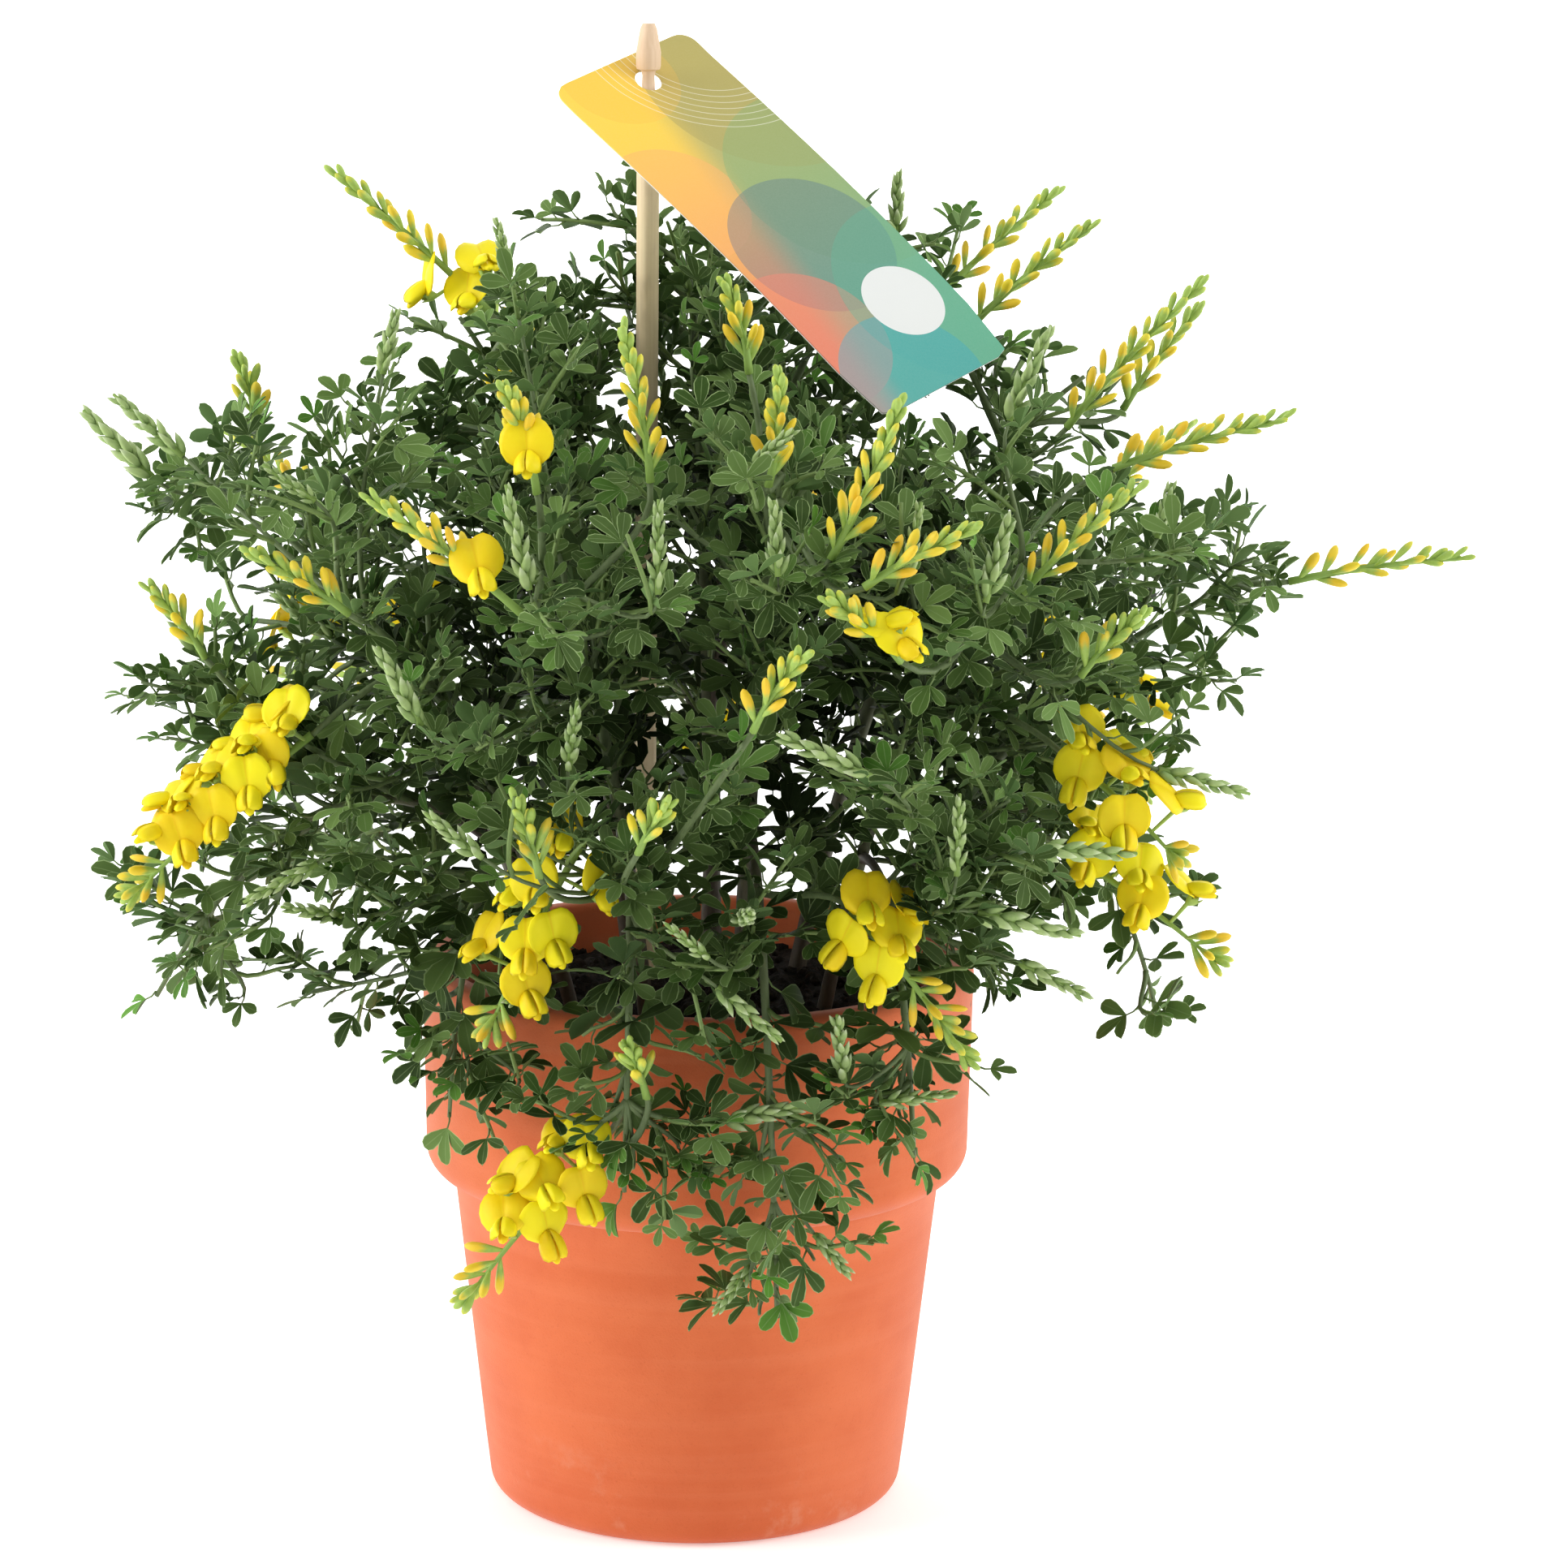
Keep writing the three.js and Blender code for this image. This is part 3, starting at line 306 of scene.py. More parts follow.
def sideways(ahead):
    """A direction square to ahead: level, except where ahead is nearly upright."""
    steep = np.abs(ahead[..., 2:]) > 0.9
    return across(np.where(steep, [1.0, 0.0, 0.0], [0.0, 0.0, 1.0]), ahead)


def round_about(ahead, angle):
    """A direction square to ahead, so far round it."""
    return turned(sideways(ahead), ahead, angle)


def full_turn(steps):
    """Even angles round a circle."""
    return np.linspace(0, 2 * np.pi, steps, endpoint=False)


def circle(ahead, side, around, flat=1.0):
    """Directions round each axis: side cos a + (ahead x side) sin a, this one times flat."""
    angle = full_turn(around)[:, None]
    return side[..., None, :] * np.cos(angle) + np.cross(ahead, side)[..., None, :] * np.sin(angle) * flat


def place_on(controls, t):
    """Places on cubic curves of four controls each, at shares t of the way."""
    s = 1 - t
    weights = np.stack([s**3, 3 * s * s * t, 3 * s * t * t, t**3], -1)
    return np.einsum("ktc,kcx->ktx", weights, controls)


def heading_on(controls, t):
    """The curves' own directions at shares t of the way."""
    s = 1 - t
    weights = np.stack([-s * s, s * s - 2 * s * t, 2 * s * t - t * t, t * t], -1)
    return unit(np.einsum("ktc,kcx->ktx", weights, controls))


def shares(first, last, steps, curves):
    """The same even shares of the way on each of the curves."""
    return np.linspace(first, last, steps) * np.ones((len(curves), 1))


def bowed(foot, tip, bow=0.0):
    """Curves from foot to tip, straight or with their middles pushed aside by bow."""
    return np.stack([foot, foot + (tip - foot) / 3 + bow, foot + (tip - foot) * 2 / 3 + bow, tip], -2)


def bent(root, way, length, along, bend, curve):
    """Places on axes that bend away: root + way s + bend curve s s, with s along the length."""
    return (root[:, None] + way[:, None] * (length[:, None] * along)[..., None]
            + bend[:, None] * (length * curve)[:, None, None] * (along**2)[:, None])


# Closed surfaces. Each point carries two marks for the materials: blade, which is how far across
# a blade, how far along it and whether underneath, and tone: chance, youth, and age, which on leaves
# is painted shade.

class Surface:
    """Points, faces by their corners, both marks and a material's place, all in flat rows."""

    def __init__(self, points, faces, blade=0.0, tone=0.0, finish=0):
        self.points = points.reshape(-1, 3)
        self.faces = [part.reshape(-1, part.shape[-1]) for part in faces]
        self.blade = np.broadcast_to(blade, points.shape).reshape(-1, 3)
        self.tone = np.broadcast_to(tone, points.shape).reshape(-1, 3)
        self.finish = finish


def marks(first, second, third=0.0):
    """One mark for a whole grid, from its three values by row and column."""
    return np.stack(np.broadcast_arrays(first, second, third), -1)


def chances(values):
    """Tone that has chance alone, one value for each tube or shell."""
    return values[:, None, None, None] * [1.0, 0.0, 0.0]


def tubes(points, **looks):
    """Closed tubes from rings of points: an array of tube, ring, place on the ring."""
    index = np.arange(points[..., 0].size).reshape(points.shape[:3])
    beside = np.roll(index, -1, axis=2)
    walls = np.stack([index[:, :-1], beside[:, :-1], beside[:, 1:], index[:, 1:]], -1)
    return Surface(points, [walls, index[:, 0, ::-1], index[:, -1]], **looks)


def hoop(points, **looks):
    """A surface that closes on itself both ways, such as a turned wall."""
    index = np.arange(points[..., 0].size).reshape(points.shape[:2])
    beside, ahead = np.roll(index, -1, axis=1), np.roll(index, -1, axis=0)
    return Surface(points, [np.stack([index, beside, np.roll(beside, -1, axis=0), ahead], -1)], **looks)


def sheets(upper, lower, **looks):
    """Closed shells from an upper and a lower grid each, joined along their borders."""
    index = np.arange(upper[..., 0].size).reshape(upper.shape[:3])
    top = np.stack([index[:, :-1, :-1], index[:, 1:, :-1], index[:, 1:, 1:], index[:, :-1, 1:]], -1)
    border = np.concatenate(
        [index[:, 0, :-1], index[:, :-1, -1], index[:, -1, :0:-1], index[:, :0:-1, 0]], axis=1)
    following = np.roll(border, -1, axis=1)
    edge = np.stack([border, following, following + index.size, border + index.size], -1)
    return Surface(np.stack([upper, lower]), [top, top[..., ::-1] + index.size, edge], **looks)


def mesh_of(name, surfaces, materials, crease=None):
    """One object, at the origin, from surfaces measured from the pot's axis."""
    points = np.concatenate([surface.points for surface in surfaces]) + AXIS
    starts = np.cumsum([0] + [len(surface.points) for surface in surfaces[:-1]])
    faces = [(part + start, surface.finish)
             for surface, start in zip(surfaces, starts) for part in surface.faces]
    corners = np.concatenate([part.ravel() for part, finish in faces])
    sizes = np.concatenate([np.full(len(part), part.shape[1]) for part, finish in faces])
    finishes = np.concatenate([np.full(len(part), finish) for part, finish in faces])
    mesh = bpy.data.meshes.new(name)
    mesh.vertices.add(len(points))
    mesh.vertices.foreach_set("co", points.astype(np.float32).ravel())
    mesh.loops.add(len(corners))
    mesh.loops.foreach_set("vertex_index", corners.astype(np.int32))
    mesh.polygons.add(len(sizes))
    mesh.polygons.foreach_set("loop_start", (np.cumsum(sizes) - sizes).astype(np.int32))
    mesh.polygons.foreach_set("material_index", finishes.astype(np.int32))
    for mark in ("blade", "tone"):
        values = np.concatenate([getattr(surface, mark) for surface in surfaces])
        attribute = mesh.attributes.new(mark, "FLOAT_VECTOR", "POINT")
        attribute.data.foreach_set("vector", values.astype(np.float32).ravel())
    for material in materials:
        mesh.materials.append(material)
    mesh.update(calc_edges=True)
    mesh.shade_smooth()
    if crease is not None:
        mesh.set_sharp_from_angle(angle=math.radians(crease))
    piece = bpy.data.objects.new(name, mesh)
    bpy.context.scene.collection.objects.link(piece)
    return piece


def dress(name, surfaces, materials, slot, *nodes, crease=None):
    """A piece that rides on the one body and stands for these nodes; its slot is not used."""
    piece = mesh_of(name, surfaces, materials, crease)
    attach(piece, "root")
    if nodes:
        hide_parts(*nodes)


# Materials.

class Finish:
    """A material of Principled BSDF, with short words for the nodes that feed it."""

    def __init__(self, name, roughness, **sockets):
        self.material = bpy.data.materials.new(name)
        self.material.use_nodes = True
        self.tree = self.material.node_tree
        self.shader = self.tree.nodes["Principled BSDF"]
        for socket, value in {"Roughness": roughness, **sockets}.items():
            self.shader.inputs[socket.replace("_", " ")].default_value = value

    def node(self, kind, inputs, **settings):
        made = self.tree.nodes.new(kind)
        for key, value in settings.items():
            setattr(made, key, value)
        for socket, value in inputs.items():
            if isinstance(value, bpy.types.NodeSocket):
                self.tree.links.new(value, made.inputs[socket])
            else:
                made.inputs[socket].default_value = value
        return made

    def math(self, operation, *values):
        return self.node("ShaderNodeMath", dict(enumerate(values)), operation=operation).outputs[0]

    def times(self, first, second):
        return self.math("MULTIPLY", first, second)

    def mark(self, name):
        """The three values of one of the marks."""
        vector = self.node("ShaderNodeAttribute", {}, attribute_name=name).outputs["Vector"]
        return self.node("ShaderNodeSeparateXYZ", {0: vector}).outputs

    def place(self, scale=(1, 1, 1)):
        """The place on the object, measured in units of one over scale."""
        here = self.node("ShaderNodeTexCoord", {}).outputs["Object"]
        return self.node("ShaderNodeMapping", {"Vector": here, "Scale": scale}).outputs[0]

    def noise(self, vector, scale, detail=2.0, roughness=0.5):
        inputs = {"Vector": vector, "Scale": scale, "Detail": detail, "Roughness": roughness}
        return self.node("ShaderNodeTexNoise", inputs).outputs["Fac"]

    def rise(self, value, low, high):
        """From 0 to 1 as value goes from low to high, with soft ends."""
        inputs = {"Value": value, "From Min": low, "From Max": high}
        return self.node("ShaderNodeMapRange", inputs, interpolation_type="SMOOTHSTEP").outputs[0]

    def fall(self, value, low, high):
        return self.math("SUBTRACT", 1.0, self.rise(value, low, high))

    def mix(self, share, first, second, strength=None):
        """From the first colour to the second, each a socket or three numbers."""
        if strength is not None:
            share = self.times(share, strength)
        colours = [value if isinstance(value, bpy.types.NodeSocket) else (*value, 1.0)
                   for value in (first, second)]
        inputs = {0: share, 6: colours[0], 7: colours[1]}
        return self.node("ShaderNodeMix", inputs, data_type="RGBA").outputs[2]

    def bump(self, height, strength, distance):
        inputs = {"Height": height, "Strength": strength, "Distance": distance}
        bump = self.node("ShaderNodeBump", inputs).outputs[0]
        self.tree.links.new(bump, self.shader.inputs["Normal"])

    def coloured(self, colour):
        """The finished material, with this base colour."""
        self.tree.links.new(colour, self.shader.inputs["Base Color"])
        return self.material


def leaf_finish():
    """Dark green blades with a clear, pale margin and a fine crease, greyer underneath. Those that
    stand deep in the crown or in its lower middle get painted shade, carried in the third tone value."""
    f = Finish("leaf", 0.6, Specular_IOR_Level=0.12)
    over, along, under = f.mark("blade")
    chance, youth, age_and_painted_shade = f.mark("tone")
    green = f.mix(chance, (0.011, 0.029, 0.004), (0.16, 0.262, 0.07))
    green = f.mix(f.noise(f.place(), 520.0), green, (0.115, 0.205, 0.04), 0.3)
    green = f.mix(youth, green, (0.12, 0.34, 0.035))
    side = f.math("ABSOLUTE", over)
    edge = f.math("MAXIMUM", f.rise(side, 0.86, 0.93), f.rise(along, 0.96, 1.0))
    pale = f.math("MAXIMUM", f.times(edge, 0.8), f.times(f.fall(side, 0.02, 0.1), 0.22))
    top = f.mix(pale, green, (0.38, 0.52, 0.22))
    below = f.mix(chance, (0.07, 0.14, 0.038), (0.14, 0.23, 0.075))
    colour = f.mix(f.rise(under, 0.02, 0.1), top, below)
    # Painted shade: leaves deep in the crown and in its lower middle go towards near black.
    return f.coloured(f.mix(age_and_painted_shade, colour, (0.005, 0.011, 0.001), 0.82))


def wood_finish():
    """Grey-green ribbed stems, browner where they are old."""
    f = Finish("stem", 0.62)
    youth, age_and_painted_shade = f.mark("tone")[1:]
    fibres = f.noise(f.place((1.0, 1.0, 0.25)), 900.0, 3.0)
    green = f.mix(fibres, (0.075, 0.115, 0.038), (0.16, 0.22, 0.085))
    fresh = f.mix(youth, green, (0.27, 0.44, 0.075))
    brown = f.mix(fibres, (0.05, 0.038, 0.025), (0.13, 0.1, 0.068))
    f.bump(fibres, 0.35, 0.0003)
    return f.coloured(f.mix(age_and_painted_shade, fresh, brown))


def silver_finish():
    """Young buds under silvery hairs, palest at their tips."""
    f = Finish("shoot_tip", 0.75, Specular_IOR_Level=0.2)
    along, chance = f.mark("blade")[1], f.mark("tone")[0]
    green = f.mix(chance, (0.2, 0.32, 0.08), (0.35, 0.47, 0.17))
    green = f.mix(f.noise(f.place(), 1500.0), green, (0.42, 0.52, 0.26), 0.5)
    green = f.mix(f.fall(along, 0.0, 0.35), green, (0.11, 0.19, 0.055), 0.6)
    return f.coloured(f.mix(f.rise(along, 0.55, 1.0), green, (0.6, 0.67, 0.44), 0.7))


def petal_finish():
    """Bright yellow petals with fine veins, a little light through them and painted shade: deeper amber
    towards each petal's foot and along the banner's crease.
    """
    f = Finish("petal", 0.5, Subsurface_Weight=0.15, Subsurface_Scale=0.002,
               Subsurface_Radius=(1.0, 0.7, 0.1), Specular_IOR_Level=0.2)
    over, along = f.mark("blade")[:2]
    bright = f.mix(f.mark("tone")[0], (0.84, 0.56, 0.006), (0.92, 0.8, 0.01))
    bright = f.mix(f.noise(f.place(), 700.0), bright, (0.94, 0.85, 0.02), 0.3)
    # Painted shade: deeper amber towards each petal's foot, where it folds into the flower, and down the
    # banner's crease.
    heart = f.times(f.fall(along, 0.05, 0.42), 0.65)
    fold = f.times(f.fall(f.math("ABSOLUTE", over), 0.0, 0.06), 0.35)
    return f.coloured(f.mix(f.math("MAXIMUM", heart, fold), bright, (0.82, 0.46, 0.004)))


def bud_finish():
    """Buds: yellow-green from the foot, going over to orange-yellow at the tip, the less the
    younger they are. Age is how far up the green reaches, with five teeth at its edge."""
    f = Finish("bud", 0.55, Sheen_Weight=0.1)
    over, along = f.mark("blade")[:2]
    chance, youth, age_and_painted_shade = f.mark("tone")
    teeth = f.times(f.math("SINE", f.times(over, 31.4)), 0.04)
    rim = f.math("MULTIPLY_ADD", age_and_painted_shade, 0.5, 0.4)
    bare = f.rise(f.math("SUBTRACT", f.math("ADD", along, teeth), rim), -0.04, 0.26)
    yellow = f.mix(chance, (0.8, 0.5, 0.01), (0.86, 0.68, 0.02))
    tip = f.mix(youth, yellow, (0.54, 0.62, 0.06))
    green = f.mix(f.noise(f.place(), 900.0), (0.23, 0.4, 0.05), (0.45, 0.6, 0.12))
    return f.coloured(f.mix(bare, green, tip))


def clay_finish():
    """Unglazed clay: mottled orange, fine grit, turning lines, pale bloom and a few dark chips."""
    f = Finish("clay", 0.86, Specular_IOR_Level=0.25, Sheen_Weight=0.2)
    here = f.place()
    clouds, grit = f.noise(here, 28.0, 4.0, 0.6), f.noise(here, 1900.0, 3.0, 0.7)
    rings = f.noise(f.place((6.0, 6.0, 260.0)), 1.0, 3.0)
    colour = f.mix(f.rise(clouds, 0.3, 0.72), (0.6, 0.12, 0.035), (0.68, 0.158, 0.052))
    colour = f.mix(f.rise(rings, 0.4, 0.75), colour, (0.73, 0.205, 0.09), 0.22)
    colour = f.mix(f.rise(grit, 0.56, 0.74), colour, (0.45, 0.075, 0.022), 0.3)
    height = f.node("ShaderNodeSeparateXYZ", {0: here}).outputs[2]
    bloom = f.times(f.rise(f.noise(here, 75.0, 5.0, 0.65), 0.56, 0.74), f.fall(height, 0.006, 0.034))
    colour = f.mix(bloom, colour, (0.72, 0.38, 0.25), 0.28)
    for spot, size in CHIPS:
        inputs = {0: here, 1: tuple(np.array(spot) + AXIS)}
        away = f.node("ShaderNodeVectorMath", inputs, operation="DISTANCE").outputs["Value"]
        ragged = f.math("MULTIPLY_ADD", f.noise(here, 1500.0), size, away)
        colour = f.mix(f.fall(ragged, size, size * 1.3), colour, (0.11, 0.035, 0.018), 0.8)
    f.bump(f.math("MULTIPLY_ADD", rings, 0.6, grit), 0.3, 0.0003)
    return f.coloured(colour)


def soil_finish():
    """Dark, damp potting mix."""
    f = Finish("soil", 0.95, Specular_IOR_Level=0.2)
    crumbs = f.noise(f.place(), 700.0, 4.0, 0.7)
    dark = f.mix(f.rise(crumbs, 0.35, 0.7), (0.006, 0.004, 0.003), (0.026, 0.018, 0.012))
    f.bump(crumbs, 0.8, 0.0012)
    return f.coloured(f.mix(f.mark("tone")[0], dark, (0.06, 0.038, 0.022), 0.6))


def bamboo_finish():
    """Split bamboo with long fibres, paler where it is carved, which age tells."""
    f = Finish("bamboo", 0.6)
    fibres = f.noise(f.place((1.0, 1.0, 0.02)), 1600.0, 3.0)
    stains = f.noise(f.place((1.0, 1.0, 0.4)), 160.0, 3.0)
    shaft = f.mix(fibres, (0.78, 0.59, 0.33), (0.94, 0.8, 0.52))
    shaft = f.mix(f.rise(stains, 0.5, 0.75), shaft, (0.24, 0.17, 0.07), 0.35)
    head = f.mix(fibres, (0.64, 0.44, 0.27), (0.8, 0.61, 0.43))
    f.bump(fibres, 0.3, 0.0002)
    return f.coloured(f.mix(f.mark("tone")[2], shaft, head))


def distance(f, x, y, centre_x, centre_y):
    """How far a point of the card lies from a centre, in card widths."""
    square = [f.math("POWER", f.math("SUBTRACT", value, middle), 2.0)
              for value, middle in ((x, centre_x), (y, centre_y))]
    return f.math("SQRT", f.math("ADD", *square))


def card_finish():
    """A printed card: a warm ground goes over to a cool one, under wide see-through discs, fine
    pale rings at one end and a plain pale disc at the other. The back is plain."""
    f = Finish("print", 0.42, Coat_Weight=0.1)
    over, along, face = f.mark("blade")
    warm = f.mix(f.rise(along, 0.1, 0.85), (0.93, 0.64, 0.05), (0.8, 0.24, 0.12))
    cool = f.mix(f.rise(along, 0.1, 0.95), (0.48, 0.42, 0.11), (0.13, 0.43, 0.26))
    slant = f.math("MULTIPLY_ADD", along, 0.4, over)
    colour = f.mix(f.rise(slant, 0.38, 0.66), warm, cool)
    down = f.times(along, CARD_LENGTH / CARD_WIDTH)
    for x, y, radius, tint, strength in CARD_DISCS:
        inside = f.math("LESS_THAN", distance(f, over, down, x, y), radius)
        colour = f.mix(inside, colour, tint, strength)
    away = distance(f, over, down, *RINGS_AT)
    rings = f.math("LESS_THAN", f.math("FRACT", f.times(away, RINGS_TO_A_WIDTH)), 0.1)
    near = f.times(f.math("GREATER_THAN", away, RINGS_FROM), f.math("LESS_THAN", away, RINGS_TO))
    colour = f.mix(f.times(rings, near), colour, (0.9, 0.9, 0.74), 0.55)
    colour = f.mix(f.noise(f.place(), 2600.0, 1.0), colour, (0.9, 0.9, 0.85), 0.06)
    return f.coloured(f.mix(f.math("GREATER_THAN", face, 0.5), (0.8, 0.8, 0.76), colour))


# The pot, the soil, the stick and the card.

def arc(centre, radius, start, end, steps):
    """Points on an arc, from one angle to another in degrees."""
    angle = np.radians(np.linspace(start, end, steps + 1))
    return np.stack([centre[0] + radius * np.cos(angle), centre[1] + radius * np.sin(angle)], -1)


def lathe(profile, sides):
    """A profile of radius and height, turned about the pot's axis."""
    radius, height = profile[:, :1], np.repeat(profile[:, 1:], sides, axis=1)
    return np.stack([radius * np.cos(full_turn(sides)), radius * np.sin(full_turn(sides)), height], -1)


def pot_inside(height):
    """The radius of the pot's straight inner wall at a height."""
    low = BASE - WALL
    return low + (RIM - WALL - low) * (height - FLOOR) / (POT_TOP - LIP - FLOOR)


def clay_pot():
    """The turned wall, a little uneven: a sum of slow waves on its radius."""
    profile = np.concatenate([
        [[DRAIN, 0.0], [BASE - 0.016, 0.0]],
        arc((BASE - BASE_ROUND, BASE_ROUND), BASE_ROUND, -90, -7, 8),
        np.linspace([BASE + 0.0012, 0.014], [NECK - 0.0002, COLLAR_FOOT - 0.001], 7),
        arc((NECK + 0.0008, COLLAR_FOOT - 0.0008), 0.0008, 180, 100, 3),
        arc((COLLAR - COLLAR_ROUND, COLLAR_FOOT + COLLAR_ROUND), COLLAR_ROUND, -86, 0, 9),
        np.linspace([COLLAR + 0.0001, COLLAR_FOOT + 0.012], [RIM, POT_TOP - LIP - 0.001], 5),
        arc((RIM - LIP, POT_TOP - LIP), LIP, 0, 90, 7),
        arc((RIM - WALL + LIP * 0.8, POT_TOP - LIP * 0.8), LIP * 0.8, 90, 180, 6),
        [[pot_inside(0.06), 0.06], [pot_inside(FLOOR), FLOOR], [DRAIN, FLOOR]],
    ])
    points = lathe(profile, 160)
    angle = np.arctan2(points[..., 1], points[..., 0])
    wave = np.sin(2 * angle + 0.8) + 0.5 * np.sin(5 * angle + 60 * points[..., 2])
    points[..., :2] *= (1 + CLAY_WAVE * wave / 1.5)[..., None]
    dress("clay_pot", [hoop(points)], [clay_finish()], "clay", "pot", crease=50)


def unevenness(x, y, size, seed):
    """Smooth chance heights from -1 to 1: a sum of waves of about that size in all directions."""
    rng = np.random.default_rng(seed)
    waves = 18
    turn = rng.uniform(0, 2 * np.pi, waves)
    pitch = 2 * np.pi / size * rng.uniform(0.6, 1.6, waves)
    phase = rng.uniform(0, 2 * np.pi, waves)
    return np.sin(x[..., None] * pitch * np.cos(turn) + y[..., None] * pitch * np.sin(turn)
                  + phase).sum(-1) / (waves / 3)


def soil_height(share):
    """The soil's height at a share of the way out from its middle."""
    return SOIL_CROWN + (SOIL_EDGE - SOIL_CROWN) * share**3


def potting_soil():
    """A filled bowl whose top rises to its middle and is rough at two scales, under loose crumbs."""
    edge, floor = pot_inside(SOIL_EDGE) - 0.0004, FLOOR + 0.0004
    reach = np.linspace(1, 0.003, 34)
    top = np.stack([edge * reach, soil_height(reach)], -1)
    points = lathe(np.concatenate([[[0.0002, floor], [pot_inside(floor) - 0.0008, floor]], top]), 110)
    x, y = points[..., 0], points[..., 1]
    rough = sum(height * unevenness(x, y, size, seed)
                for seed, (height, size) in enumerate((SOIL_LUMPS, SOIL_GRAINS), 5))
    points[3:-1, :, 2] += rough[3:-1]
    crumbs = soil_crumbs(edge, np.random.default_rng(SEED))
    dress("potting_soil", [tubes(points[None]), crumbs], [soil_finish()], "soil", "soil")


def soil_crumbs(edge, rng):
    """Lumps: rings of chance radius about a short, tilted axis."""
    count, rings, around = 420, 4, 6
    reach, turn = edge * 0.97 * np.sqrt(rng.uniform(0, 1, count)), rng.uniform(0, 2 * np.pi, count)
    size = 0.0007 + 0.0016 * rng.uniform(0, 1, count) ** 3
    height = soil_height(reach / edge) + size * 0.3
    centre = np.stack([reach * np.cos(turn), reach * np.sin(turn), height], -1)
    axis = unit(rng.normal(size=(count, 3)))
    latitude = np.linspace(-1.25, 1.25, rings)[:, None]
    swell = size[:, None, None] * rng.uniform(0.7, 1.25, (count, rings, around))
    out = circle(axis, sideways(axis), around)[:, None]
    points = (centre[:, None, None] + axis[:, None, None] * (swell * np.sin(latitude))[..., None]
              + out * (swell * np.cos(latitude))[..., None])
    return tubes(points, tone=chances(rng.uniform(0, 1, count) ** 4))


def bamboo_stick():
    """Rings of a slightly oval section: a plain shaft, a slim neck and a carved, tapered head."""
    neck, sides = STICK_NECK, 28
    height, radius = np.array([
        (STICK_FOOT, SHAFT), (0.2, SHAFT), (0.3, SHAFT * 1.01), (NECK_AT - 0.0045, SHAFT * 1.03),
        (NECK_AT - 0.0038, SHAFT * 0.9), (NECK_AT - 0.0025, neck * 1.1), (NECK_AT + 0.0012, neck),
        (NECK_AT + 0.0022, neck * 1.15), (NECK_AT + 0.0026, 0.0026), (NECK_AT + 0.0034, 0.0028),
        (NECK_AT + 0.0065, 0.0028), (STICK_TOP - 0.0012, 0.0019), (STICK_TOP, 0.0014),
    ]).T
    angle = full_turn(sides)
    oval = radius[:, None] * (1 + 0.035 * np.cos(4 * angle + 0.6))
    points = np.stack([oval * np.cos(angle), oval * 0.93 * np.sin(angle),
                       np.repeat(height[:, None], sides, axis=1)], -1) + STICK
    carved = (height > NECK_AT - 0.006)[:, None, None] * [0.0, 0.0, 1.0]
    stick = tubes(points[None], tone=carved)
    dress("bamboo_stick", [stick], [bamboo_finish()], "bamboo", "label_stick", crease=45)


def card_axes():
    """Over the card, down it, and away from its printed face."""
    over = unit(CARD_OVER)
    down = across(CARD_DOWN, over)
    return over, down, np.cross(over, down)


def plant_card():
    """Rays from the hole's wall to the card's rounded outline, on both faces, bowed a little."""
    rays, steps = 168, 14
    over, down, away = card_axes()
    ray = np.stack([np.cos(full_turn(rays)), np.sin(full_turn(rays))], -1)
    low = np.array([-HOLE_ACROSS, -HOLE_DOWN])
    high = low + [CARD_WIDTH, CARD_LENGTH]
    share = np.linspace(0, 1, steps)[:, None, None]
    flat = HOLE * ray * (1 - share) + card_outline(ray, low, high) * share
    x, y = np.moveaxis(np.concatenate([flat, flat[::-1]]), -1, 0)
    bow = -CARD_BOW * np.sin(np.pi * np.clip(y / high[1], 0, 1))
    level = np.repeat([0.0, CARD_THICK], steps)[:, None] + bow
    points = HOLE_AT + (x[..., None] * over + y[..., None] * down + level[..., None] * away)
    printed = np.repeat([1.0, 0.0], steps)[:, None]
    blade = marks((x - low[0]) / CARD_WIDTH, (y - low[1]) / CARD_LENGTH, printed)
    dress("plant_card", [hoop(points, blade=blade)], [card_finish()], "card", "label_card", crease=40)


def card_outline(ray, low, high):
    """Where each ray from the hole meets the rectangle, with its corners pulled in to a round."""
    reach = (np.where(ray > 0, high, -low) / np.maximum(np.abs(ray), 1e-9)).min(-1)
    point = ray * reach[:, None]
    middle = (low + high) / 2
    corner = np.where(point > middle, high - CARD_CORNER, low + CARD_CORNER)
    beyond = (point - corner) * np.sign(point - middle)
    rounded = corner + unit(point - corner) * CARD_CORNER
    return np.where((beyond > 0).all(-1, keepdims=True), rounded, point)


# Stalks and leaves.

@dataclass
class Rows:
    """Arrays of one length, side by side."""

    def where(self, chosen):
        return type(self)(*(column[chosen] for column in vars(self).values()))


@dataclass
class Stalks(Rows):
    """Limbs, twigs and side shoots: cubic curves, with a radius at root and tip."""
    controls: np.ndarray
    radius: np.ndarray
    stem: np.ndarray

    def length(self):
        steps = place_on(self.controls, shares(0, 1, 9, self.stem))
        return np.linalg.norm(np.diff(steps, axis=1), axis=-1).sum(1)


@dataclass
class Leaves(Rows):
    """Leaves by their stalk's root, way and upper face, with what sets their size and colour."""
    root: np.ndarray
    way: np.ndarray
    face: np.ndarray
    size: np.ndarray
    young: np.ndarray
    stem: np.ndarray
    chance: np.ndarray
    placed: np.ndarray

    def hub(self):
        """Where a leaf's three blades meet, out along its stalk."""
        return self.root + self.way * (LEAFLET * HUB * self.size)[:, None]


def joined(parts):
    """Several parts' rows in one."""
    columns = zip(*(vars(part).values() for part in parts))
    return type(parts[0])(*(np.concatenate(column) for column in columns))


